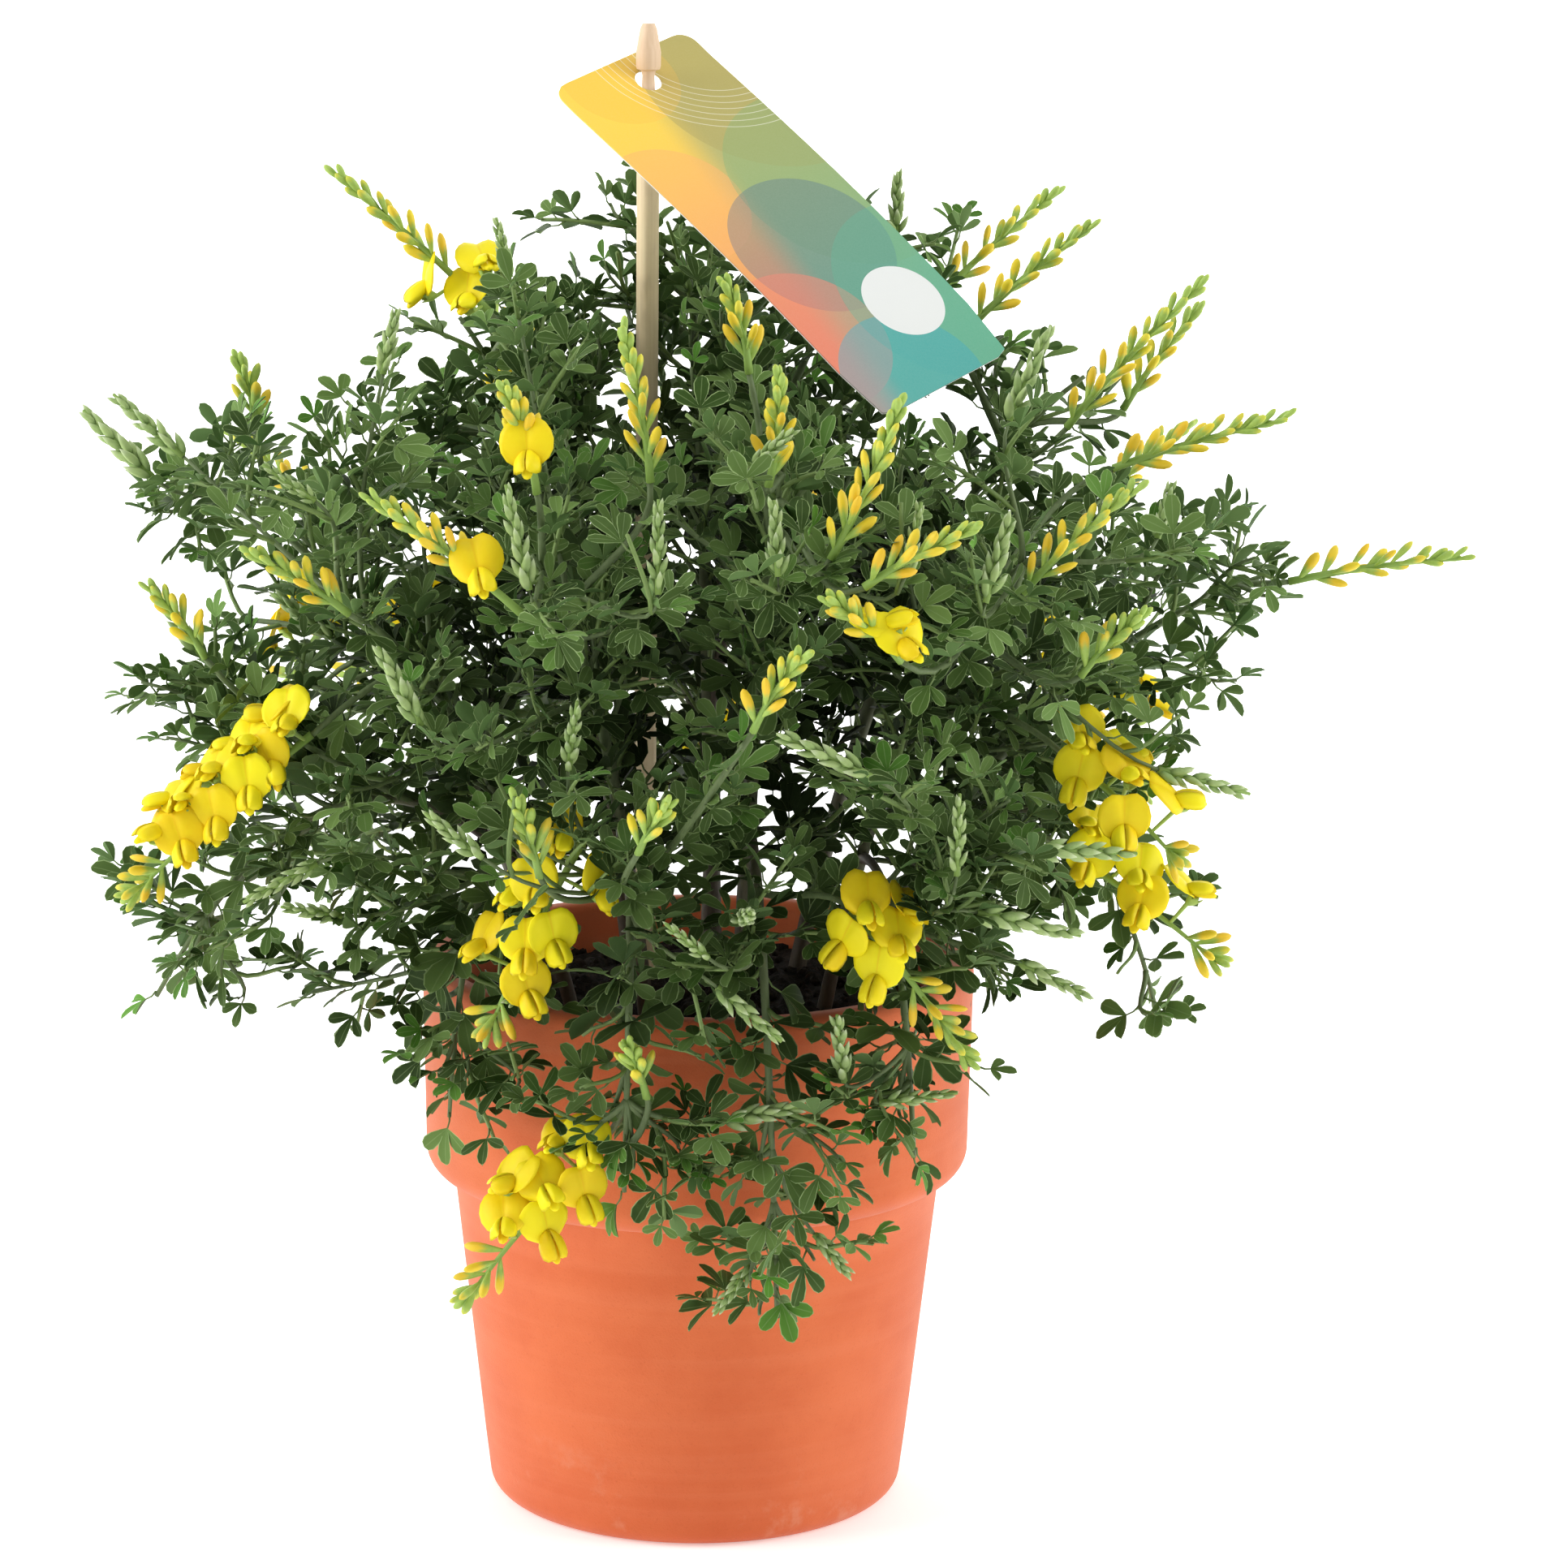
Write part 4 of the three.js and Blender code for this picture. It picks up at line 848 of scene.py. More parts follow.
def limb_curve(foot, tip, over):
    """A limb leans out to its tip on a curve of three controls, given here as four."""
    lean = foot + LIMB_LEAN * (tip - foot)
    middle = np.array([*lean[:2], foot[2] + max(LIMB_LIFT * (tip[2] - foot[2]), LIMB_LEAST)])
    if over is not None:
        middle = metres(over)
    return np.array([foot, foot + (middle - foot) * 2 / 3, tip + (middle - tip) * 2 / 3, tip])


def grow_limbs():
    """Each stem's trunk and the limbs that fork from it, and which of them arch."""
    controls, radius, stem, drawn = [], [], [], []
    for number, (foot, tips) in enumerate(row[1:] for row in STEMS):
        root = np.array([*metres(foot), SOIL_CROWN - ROOTED])
        trunk = limb_curve(root, metres(tips[0][0]), tips[0][1])
        for i, (tip, over) in enumerate(tips):
            fork = place_on(trunk[None], np.array([[FORK_FROM + FORK_STEP * i]]))[0, 0]
            controls.append(limb_curve(fork, metres(tip), over) if i else trunk)
            radius.append(LIMB if i else TRUNK)
            stem.append(number)
            drawn.append(over is not None)
    return Stalks(np.array(controls), np.array(radius), np.array(stem)), np.array(drawn)


def crown_places():
    """Even places in the crown, each in the widest space that is left, and headings. Long twigs
    end in its shell and short ones deeper in, all short of the bays."""
    i = np.arange(LONG_TWIGS + SHORT_TWIGS)
    turn = 2 * np.pi * ((0.5 + EVEN_TURN * i) % 1)
    rise = CROWN_LOWEST + (1 - CROWN_LOWEST) * ((0.5 + EVEN_RISE * i) % 1)
    flat = np.sqrt(1 - rise**2)
    out = np.stack([flat * np.cos(turn), flat * np.sin(turn), rise], -1)
    upper, fullness = np.where(rise[:, None] > 0, CROWN_UPPER, CROWN_LOWER).T
    axes = np.stack([np.full(len(i), CROWN_SIDE), np.full(len(i), CROWN_DEPTH), upper], -1)
    reach = (np.abs(out / axes) ** fullness[:, None]).sum(-1) ** (-1 / fullness)
    inner, outer = np.where(i[:, None] < LONG_TWIGS, LONG_SHELL, SHORT_SHELL).T
    share = inner + (outer - inner) * ((EVEN_DEPTH * i) % 1)
    for tries in range(20):
        places = CROWN + out * (reach * share)[:, None]
        share = np.where(in_bay(places, 0.0), share - 0.04, share)
    return places, unit(out + [0, 0, 0.5])


def in_bay(places, margin):
    """Whether a place lies in a bay of the crown's outline, by more than a margin."""
    away = np.hypot(places[..., None, 0] - BAYS[:, 0], places[..., None, 2] - BAYS[:, 1])
    return (away < BAYS[:, 2] - margin).any(-1)


def twigs_to(limbs, ends, headings, radius=TWIG):
    """A twig to each end, from the place on a limb that it reaches with the least length and
    turning. Where it would cross the pot, the card or the stick, its middle is pushed aside.
    Beside the twigs it says which of them are clear."""
    t = np.arange(0.3, 1.0, 0.07) * np.ones((len(limbs.stem), 1))
    starts, aheads = place_on(limbs.controls, t), heading_on(limbs.controls, t)
    gaps = ends[:, None, None] - starts
    length = np.linalg.norm(gaps, axis=-1)
    turning = 2 - dot(aheads, unit(gaps)) - dot(headings[:, None, None], unit(gaps))
    cost = length * (1 + TURNING * turning)
    cost[length < SHORTEST_TWIG] = np.inf
    limb, step = np.unravel_index(cost.reshape(len(ends), -1).argmin(1), t.shape)
    start, ahead = starts[limb, step], aheads[limb, step]
    length = length[np.arange(len(ends)), limb, step][:, None]
    straight = unit(ends - start)
    leave = unit(ahead * 0.45 + straight * 0.55)
    push = np.zeros_like(ends)
    for tries in range(40):
        controls = np.stack([start, start + leave * length * 0.3 + push,
                             ends - headings * length * 0.3 + push, ends], 1)
        blocked = ~clear_of_holder(place_on(controls, shares(0.05, 1, 12, ends)), TWIG_GAP).all(1)
        out = round_about(straight, np.full(len(ends), 2.4 * tries))
        push = np.where(blocked[:, None], out * 0.0012 * (tries + 1), push)
    return Stalks(controls, np.tile(radius, (len(ends), 1)), limbs.stem[limb]), ~blocked


def along_stalks(lengths, spacing):
    """Rows of places up stalks: the stalk of each place, its number there, and their count."""
    count = np.maximum(1, np.round(lengths / spacing)).astype(int)
    host = np.repeat(np.arange(len(count)), count)
    return host, np.arange(len(host)) - np.repeat(np.cumsum(count) - count, count), count[host]


def side_shoots(stalks, spacing, rng):
    """Short shoots that leave a stalk in a spiral, turn upwards and grow shorter to its tip."""
    host, order, count = along_stalks(stalks.length(), spacing)
    t = (0.25 + 0.67 * (order + rng.uniform(0.2, 0.8, len(host))) / count)[:, None]
    root, ahead = place_on(stalks.controls[host], t)[:, 0], heading_on(stalks.controls[host], t)[:, 0]
    out = round_about(ahead, 2.4 * order + host)
    way = unit(ahead * 0.75 + out + [0, 0, 0.25])
    length = rng.uniform(0.01, 0.026, len(host))[:, None] * (1.1 - 0.4 * t)
    tip = root + way * length + np.array([0, 0, 0.12]) * length
    controls = np.stack([root, root + unit(ahead + out * 0.6) * length * 0.35, tip - way * length * 0.3,
                         tip], 1)
    made = Stalks(controls, np.tile(SHOOT, (len(host), 1)), stalks.stem[host])
    return made.where(clear_of_holder(place_on(controls, shares(0.2, 1, 5, host)), TWIG_GAP).all(1))


def stalk_tubes(stalks, rings, around, young=0.0, old=0.0):
    """Round tubes along the curves, ribbed a little where they have sides enough, thinner towards
    the tip and older towards the root."""
    t = shares(0, 1, rings, stalks.stem)
    centre, ahead = place_on(stalks.controls, t), heading_on(stalks.controls, t)
    side = sideways(ahead[:, rings // 2])[:, None]
    out = circle(ahead, across(np.broadcast_to(side, ahead.shape), ahead), around)
    radius = stalks.radius[:, :1] + (stalks.radius[:, 1:] - stalks.radius[:, :1]) * t
    rib = 1 + (0.1 if around > 5 else 0.0) * np.cos(full_turn(around) * (around // 2))
    points = centre[:, :, None] + out * (radius[:, :, None] * rib)[..., None]
    return tubes(points, tone=marks(0.0, young, old * np.clip(1.3 - 2.2 * t, 0, 1))[:, :, None])


# Room: what keeps clear of the pot, the soil, the stick, the card and the flowers.

def clear_of_holder(points, margin):
    """Whether each place is off the clay, above the soil, off the stick, and before neither the card
    nor the stick's upper end."""
    x, y, height = np.moveaxis(points, -1, 0)
    out = np.hypot(x, y)
    gap = HOLDER_GAP + margin
    inside = (out < RIM - WALL - HOLDER_GAP - gap) & (height > SOIL_CROWN + gap)
    off_pot = (height > POT_TOP + gap) | inside | (out > RIM + gap)
    aside, before = x - STICK[0], STICK[1] - y
    by_stick = np.hypot(aside, before) < STICK_ROOM + margin
    hides_stick = (np.abs(aside) < STICK_SEEN + margin) & (before > 0)
    hides_stick &= height > STICK_SEEN_FROM + STICK_SEEN_SLOPE * before
    return off_pot & ~by_stick & ~hides_stick & ~before_card(points, margin)


def before_card(points, margin):
    """Whether each place touches the card or stands before its printed face."""
    over, down, behind = (dot(points - HOLE_AT, axis) for axis in card_axes())
    gap = HOLDER_GAP + margin
    level = np.abs(over + HOLE_ACROSS - CARD_WIDTH / 2) < CARD_WIDTH / 2 + gap
    level &= (down > -HOLE_DOWN - gap) & (down < CARD_LENGTH - HOLE_DOWN + gap)
    return level & (behind < BEHIND_CARD + margin) & (behind > -BEFORE_CARD)


def spike_ends():
    """Feet and tips of the silvery tips of the table."""
    return metres(SPIKES).reshape(-1, 2, 3).transpose(1, 0, 2)


def flower_room():
    """Spheres over the sprays and before them, seen from outside: centres and radii."""
    centres, radii = [], []
    for foot, tip, opened, buds in (row[1:] for row in FLOWER_SPRAYS + BUD_SPRAYS):
        foot, tip = metres(foot), metres(tip)
        for t in np.linspace(0.15, 1.0, 5):
            centre = foot + (tip - foot) * t
            full = opened and t < opened / (opened + buds) + 0.1
            for step in (0.0, 0.011, 0.022):
                centres.append(centre + unit((centre - CROWN) * [1, 1, 0.6]) * step)
                radii.append(FLOWER_ROOM if full else BUD_ROOM)
    for foot, tip in zip(*spike_ends()):
        for t in (0.3, 0.7, 1.0):
            centre = foot + (tip - foot) * t
            for step in (0.0, 0.01):
                centres.append(centre + unit(centre - CROWN) * step)
                radii.append(SPIKE_ROOM)
    return np.array(centres), np.array(radii)


def clear_of_flowers(points, centres, radii):
    """Whether each row of places keeps out of all the spheres."""
    free = np.ones(len(points), bool)
    for start in range(0, len(points), 800):
        part = points[start:start + 800, :, None] - centres
        free[start:start + 800] = (np.linalg.norm(part, axis=-1) > radii).all((1, 2))
    return free


# Leaves.

def leaves_on(stalks, first, last, crowd, size, placed, rng):
    """Leaves in a spiral from first to last share of each stalk, smaller and younger at its tip.
    Those of a stalk that was placed one by one may stand in a bay of the crown."""
    host, order, count = along_stalks(stalks.length() * (last - first), LEAF_SPACING * crowd)
    t = last - (last - first) * (order + rng.uniform(0, 0.6, len(host))) / count
    curves = stalks.controls[host]
    centre, ahead = place_on(curves, t[:, None])[:, 0], heading_on(curves, t[:, None])[:, 0]
    out = round_about(ahead, GOLDEN * order + 1.7 * host)
    lean = np.where(order == 0, 0.25, rng.uniform(0.5, 1.25, len(host)))[:, None]
    way = unit(ahead * np.cos(lean) + out * np.sin(lean) + [0, 0, 0.18])
    outward = unit((centre - CROWN) * [1, 1, 0.4])
    tilt = rng.normal(0, 0.34, (len(host), 3))
    face = across(outward * 0.3 + [0, 0, 1.0] + tilt + ahead * 0.2, way)
    tip = np.clip((t - 0.72) / 0.28, 0, 1)
    grown = size * rng.uniform(0.78, 1.15, len(host)) * (1 - 0.3 * tip)
    young = np.clip(tip * rng.uniform(-0.5, 1.0, len(host)), 0, 1) * 0.8
    root = centre + out * stalks.radius[host, :1] * 0.5
    return Leaves(root, way, face, grown, young, stalks.stem[host], rng.uniform(0, 1, len(host)),
                  np.full(len(host), placed))


def leaf_samples(leaves):
    """Places over each leaf, to test it for room."""
    hub, side = leaves.hub(), np.cross(leaves.face, leaves.way)
    reach = (LEAFLET * leaves.size)[:, None]
    tips = [hub + (leaves.way * np.cos(a) + side * np.sin(a)) * reach * part
            for a in (-1.1, 0.0, 1.1) for part in (0.5, 1.0)]
    return np.stack([hub, *tips], 1)


def depth_of(places):
    """How deep in the crown places are: 0 from DEEP_FROM of its half axes outwards, 1 in its heart."""
    out = (places - CROWN) / [CROWN_SIDE, CROWN_DEPTH, CROWN_UPPER[0]]
    return np.clip((DEEP_FROM - np.linalg.norm(out, axis=-1)) * DEEP_RATE, 0, 1)


def shade_of(places):
    """How much the crown shades places in its lower middle, between two heights and near the axis."""
    x, z = abs(places[:, 0]), places[:, 2]
    under, over = np.clip((SHADE_TOP - z) * 12, 0, 1), np.clip((z - SHADE_FOOT) * 30, 0, 1)
    return SHADE * (under * over * np.clip(1.2 - x * 10, 0, 1))


def blades_of(leaves, rng):
    """Finer blades outside and plainer ones deep in the crown, with shade painted on them there and in the
    crown's lower middle.
    """
    depth = depth_of(leaves.root)
    hidden = depth > 0.5
    # dark is painted shade: the greater of the depth in the crown and the shade of its lower middle.
    dark = np.maximum(depth, shade_of(leaves.root))
    return [blades for chosen, outline in ((~hidden, FINE_BLADE), (hidden, PLAIN_BLADE))
            for blades in leaf_blades(leaves.where(chosen), dark[chosen], *np.array(outline).T, rng)]


def leaf_blades(leaves, dark, along, half, rng):
    """Three blades a leaf: a ring of four points, edge, crest, edge and keel, at each station.
    The blade folds up along its midrib and arches down."""
    count = len(leaves.size)
    hub, side = leaves.hub(), np.cross(leaves.face, leaves.way)
    spread = rng.uniform(0.75, 1.3, count)
    cup = rng.uniform(0.0, 0.38, count)
    blade = marks([1, 0, -1, 0], along[:, None], [0, 0, 0, 1])
    # dark, the painted shade, rides in the third tone value.
    tone = marks(leaves.chance, leaves.young, dark)[:, None, None]
    for turn in (-1, 0, 1):
        angle = (turn * spread)[:, None]
        way = unit(leaves.way * np.cos(angle) + side * np.sin(angle)
                   + leaves.face * (cup * (0.6 if turn else 0.2))[:, None])
        face = across(leaves.face - turn * 0.35 * side, way)
        length = LEAFLET * leaves.size * rng.uniform(0.92, 1.08, count) * (0.92 if turn else 1.06)
        width = length * rng.uniform(0.195, 0.265, count)
        arch = rng.uniform(-0.02, 0.22, count)
        fold = rng.uniform(0.15, 0.55, count)
        centre = bent(hub, way, length, along, -face, arch)
        reach = np.cross(face, way)[:, None] * (width[:, None] * half)[..., None]
        lift = face[:, None] * (width[:, None] * half * fold[:, None])[..., None]
        thick = face[:, None] * BLADE_THICK
        ring = np.stack([centre + reach + lift, centre + thick, centre - reach + lift, centre - thick], 2)
        yield tubes(ring, blade=blade, tone=tone)


def leaf_stalks(leaves):
    """A thin three-sided stalk under each leaf, sagging a little between root and hub."""
    sag = -leaves.face * (0.0006 * leaves.size)[:, None]
    controls = bowed(leaves.root, leaves.hub(), sag)
    return Stalks(controls, np.tile(LEAF_STALK, (len(controls), 1)), leaves.stem)


# Scaly tips, buds and flowers. Their pieces have wood first, and these materials by their places.

BUD, PETAL = 1, 2


def spindles(root, way, length, width, along, thick, around, tone, rng):
    """Closed spindles: oval rings whose radius follows thick along a slightly curved axis."""
    side = round_about(way, rng.uniform(0, 6.28, len(root)))
    curve = rng.uniform(-0.06, 0.1, len(root))
    centre = bent(root, way, length, along, side, curve)
    out = circle(way, side, around, 0.8)[:, None]
    ring = centre[:, :, None] + out * (width[:, None] / 2 * thick)[..., None, None]
    blade = marks(full_turn(around) / (2 * np.pi), along[:, None])
    return tubes(ring, blade=blade, tone=tone[:, None, None], finish=BUD)


def shoot_tip(foot, tip, rng):
    """Tight, silvery buds that overlap in a spiral up a thin stalk, smaller towards its end."""
    steps = 18
    i = np.arange(steps)
    t = (i + 0.2) / steps
    length = np.linalg.norm(tip - foot, axis=-1)
    plump = rng.uniform(0.85, 1.15, len(foot)) * np.clip(length / SPIKE_LENGTH, 0.8, 1.25)
    ahead = np.broadcast_to(unit(tip - foot)[:, None], (len(foot), steps, 3))
    turn = GOLDEN * i + rng.uniform(0, 6, (len(foot), 1))
    out = round_about(ahead, turn)
    root = foot[:, None] + ahead * (t * length[:, None] * 0.9)[..., None] + out * 0.0005
    lean = (0.44 - 0.26 * t + rng.uniform(-0.1, 0.1, turn.shape))[..., None]
    way = unit(ahead * np.cos(lean) + out * np.sin(lean))
    size = ((0.0046 - 0.0016 * t) * plump[:, None]).ravel()
    along, thick = np.array([[0.0, 0.3], [0.16, 0.8], [0.44, 1.0], [0.74, 0.66], [1.0, 0.05]]).T
    tone = marks(rng.uniform(0, 1, len(size)), 0.0)
    buds = spindles(root.reshape(-1, 3), way.reshape(-1, 3), size, size * 0.4, along, thick, 6, tone, rng)
    stalk = Stalks(bowed(foot, tip), np.tile(TWIG, (len(foot), 1)), np.zeros(len(foot), int))
    return [stalk_tubes(stalk, 4, 5, young=0.6), buds]


@dataclass
class Posture:
    """A flower's own axes: to its side, up its banner, and out along its stalk; and the way from its
    root back to the spray."""
    root: np.ndarray
    side: np.ndarray
    rise: np.ndarray
    front: np.ndarray
    back: np.ndarray

    def at(self, x, y, z):
        """Places from coordinates: arrays of row and column, or of flower, row and column."""
        side, rise, front = (axis[:, None, None] for axis in (self.side, self.rise, self.front))
        return (self.root[:, None, None] + side * x[..., None] + rise * y[..., None]
                + front * z[..., None])


def lone_start(opened):
    """How far up its spray a lone open flower stands; where there are more, they start lower."""
    return 0.2 if opened == 1 else 0.0


def flower_postures(stalk, opened, total, rng):
    """Flowers in a spiral from the spray's foot, each facing out with its banner up."""
    foot, tip = stalk.controls[0, 0], stalk.controls[0, 3]
    i = np.arange(opened)
    t = lone_start(opened) + (i + 0.6) / total
    ahead = np.broadcast_to(unit(tip - foot), (opened, 3))
    away = unit(np.array([foot[0], 1.8 * foot[1], 0.02]))
    side = across(np.broadcast_to(away, (opened, 3)), ahead)
    aside = 1.35 * (np.array([0, 1, -1])[i % 3])
    out = turned(side, ahead, aside + rng.uniform(-0.35, 0.35, opened))
    front = unit(out + away * 0.6 + ahead * 0.2 + [0, 0, 0.25] + rng.normal(0, 0.15, (opened, 3)))
    rise = across(np.array([0, 0, 1.0]) + ahead * 0.4 + rng.normal(0, 0.12, (opened, 3)), front)
    spread = out * rng.uniform(0.0035, 0.0055, (opened, 1)) * (1.0 if opened > 2 else 0.2)
    root = place_on(stalk.controls, t[None])[0] + spread
    return Posture(root, np.cross(rise, front), rise, front, -spread)


def petal_looks(open_share, rng):
    """One chance for each flower, and the petals' material."""
    return {"tone": chances(rng.uniform(0, 1, len(open_share))), "finish": PETAL}


def banners(pose, open_share, rng):
    """The upright petal, by rays from its claw. A ray's length follows a circle through the claw,
    with a notch at the top; the sheet is creased down its middle, bulges forward on both sides
    and bends back at its edge, the more the wider the flower is open."""
    share = np.linspace(0.05, 1, 7)[:, None] ** 0.8
    lean = np.linspace(-1, 1, 17)[None]
    angle = 1.42 * np.sign(lean) * np.abs(lean) ** 1.2
    reach = share * np.cos(angle * 0.98) ** 0.85 * (1 - 0.13 * np.exp(-((angle / 0.17) ** 2)))
    x = reach * np.sin(angle) * BANNER_WIDE
    y = reach * np.cos(angle) * BANNER_TALL
    wide = open_share[:, None, None]
    bulge = 0.0011 * np.sin(np.pi * share) * (1 - (angle / 1.45) ** 2) * (1 - 0.3 * wide)
    crease = 0.0006 * np.exp(-((angle / 0.14) ** 2)) * share
    ripple = 0.00025 * np.sin(6 * angle + rng.uniform(0, 6, (len(open_share), 1, 1))) * share**2
    z = (FLOWER_STALK + 0.0008 + bulge - crease + ripple - (0.03 + 0.22 * wide) * y
         + (0.003 - 0.0048 * wide) * share**2 * np.sin(angle) ** 2)
    upper, lower = (pose.at(x, y, z + side * PETAL_THICK / 2)[:, :, ::-1] for side in (1, -1))
    return sheets(lower, upper, blade=marks(lean, share), **petal_looks(open_share, rng))


def wings(pose, open_share, rng):
    """Two side petals that droop from the claw and meet over the keel. Each is a blade that curves,
    across, from its upper edge out and down to its lower edge, so that the pair makes a roof."""
    along = np.array([0.0, 0.14, 0.34, 0.58, 0.8, 0.94, 1.0])[:, None]
    deep = np.array([0.34, 0.7, 0.94, 1.0, 0.94, 0.68, 0.2])[:, None]
    bulge = 0.0001 * deep * np.array([0.0, 8.0, 8.0, 0.0, 3.0, 3.0])
    half = WING_HALF * deep * np.array([1.0, 0.45, -0.45, -1.0, -0.4, 0.4])
    wide = open_share[:, None, None]
    x = 0.0001 + WING_HALF * deep - half + 0.7 * bulge
    y = (WING_FOOT - DROOP * along**1.2) + half + 0.7 * bulge
    z = (FLOWER_STALK + 0.0004 + WING * along) + 0.4 * half
    for side in (-1, 1):
        ring = pose.at(side * (x + 0.0002 * along * wide), y - OPEN_DROOP * along * wide, z)[:, :, ::-side]
        yield tubes(ring, blade=marks(0.5, 0.3 + 0.7 * along), **petal_looks(open_share, rng))


def keels(pose, open_share, rng):
    """The boat under the wings: oval rings on a line that droops with them and ends blunt."""
    along = np.array([0.0, 0.15, 0.4, 0.65, 0.85, 0.96, 1.0])[:, None]
    half = KEEL_HALF * np.array([0.35, 0.7, 1.0, 1.0, 0.8, 0.45, 0.06])[:, None]
    angle = full_turn(8)
    wide = open_share[:, None, None]
    y = (KEEL_FOOT - DROOP * along**1.2) + half * np.sin(angle) - OPEN_DROOP * wide * along
    ring = pose.at(half * np.cos(angle), y, FLOWER_STALK + 0.0002 + 0.94 * WING * along)
    return tubes(ring, blade=marks(0.5, 0.2 + 0.6 * along), **petal_looks(open_share, rng))


def cups(pose):
    """The green cup on its stalk: rings from the spray that widen to a rim of five teeth."""
    along = np.array([0.0, 0.1, 0.4, 0.62, 0.8, 0.98, 1.0])[:, None]
    radius = CUP * np.array([0.3, 0.34, 0.42, 0.95, 1.15, 1.3, 1.1])[:, None]
    angle = full_turn(10)
    teeth = 0.0007 * (along > 0.9) * np.cos(5 * angle)
    ring = pose.at(radius * np.cos(angle), radius * np.sin(angle) + 0.0003 * along,
                   along * (FLOWER_STALK + 0.0012) + teeth)
    ring = ring + pose.back[:, None, None] * np.clip(1 - along / 0.4, 0, 1)[..., None]
    return tubes(ring, tone=(0, 0, 1), finish=BUD)


def spray_buds(stalk, opened, total, rng):
    """Buds from the last open flower to the tip, ever smaller and greener, with a tight end. Each
    swells over its green cup and closes at a blunt tip."""
    first = lone_start(opened) + (opened + 0.5) / total
    count = int((total - opened) * BUD_CROWD) + END_BUDS
    i = np.arange(count)
    share = i / count
    t = first + (0.985 - first) * share**0.85
    root = place_on(stalk.controls, t[None])[0]
    ahead = heading_on(stalk.controls, t[None])[0]
    out = round_about(ahead, GOLDEN * i + 0.7)
    lean = 0.74 - 0.5 * share + rng.uniform(-0.08, 0.08, count)
    way = unit(ahead * np.cos(lean)[:, None] + out * np.sin(lean)[:, None] + [0, 0, 0.3])
    length = (0.009 - 0.0042 * share) * rng.uniform(0.9, 1.1, count)
    width = (0.0024 - 0.0007 * share) * rng.uniform(0.9, 1.1, count)
    fresh = 0.45 if total < 6 else 0.0
    young = np.clip(share * 1.5 - 0.35 + fresh + rng.uniform(-0.2, 0.2, count), 0, 1)
    green = np.clip(share * 1.3 - 0.25 + fresh + rng.uniform(-0.15, 0.15, count), 0, 1)
    along, thick = np.array([[0.0, 0.3], [0.12, 0.4], [0.28, 0.64], [0.45, 0.86], [0.62, 1.0],
                             [0.8, 0.97], [0.93, 0.64], [1.0, 0.1]]).T
    tone = marks(rng.uniform(0, 1, count), young, green)
    return spindles(root, way, length, width, along, thick, 8, tone, rng)


def spray_pieces(foot, tip, opened, buds, rng):
    """A spray's surfaces: its stalk, the open flowers from its foot on, and buds up to its tip."""
    foot, tip = metres(foot), metres(tip)
    bow = sideways(unit(tip - foot)) * 0.0012
    stalk = Stalks(bowed(foot, tip, bow)[None], np.array([SPRAY_STALK]), np.zeros(1, int))
    surfaces = [stalk_tubes(stalk, 9, 6, young=0.8)]
    if opened:
        pose = flower_postures(stalk, opened, opened + buds, rng)
        open_share = rng.uniform(0.25, 1.0, opened)
        surfaces += [banners(pose, open_share, rng), *wings(pose, open_share, rng),
                     keels(pose, open_share, rng), cups(pose)]
    return surfaces + [spray_buds(stalk, opened, opened + buds, rng)]


# The whole plant.

def crown_twigs(limbs):
    """Twigs to the crown's even places, and which of them end in a silvery tip."""
    ends, ways = crown_places()
    number = np.arange(len(ends))
    tipped = (number < LONG_TWIGS) & (number % SPIKE_EVERY == 0)
    ends[tipped] -= ways[tipped] * SPIKE_LENGTH
    free = clear_of_holder(ends, END_GAP)
    twigs, clear = twigs_to(limbs, ends[free], ways[free])
    return twigs.where(clear), tipped[free][clear]


def grow_leaves(rows, rng):
    """The leaves of rows of stalks, without those that have no room."""
    leaves = joined([leaves_on(*row, rng) for row in rows])
    samples = leaf_samples(leaves)
    free = clear_of_holder(samples, LEAF_GAP).all(1) & clear_of_flowers(samples, *flower_room())
    return leaves.where(free & (leaves.placed | ~in_bay(samples[:, 0], BAY_EDGE)))


def end_spikes(ends):
    """Feet, tips and stems of the silvery tips that go on from these twigs' ends."""
    feet = ends.controls[:, 3]
    tips = feet + heading_on(ends.controls, np.ones((len(feet), 1)))[:, 0] * SPIKE_LENGTH
    clear = clear_of_holder(np.stack([feet, tips], 1), SPIKE_GAP).all(1)
    return feet[clear], tips[clear], ends.stem[clear]


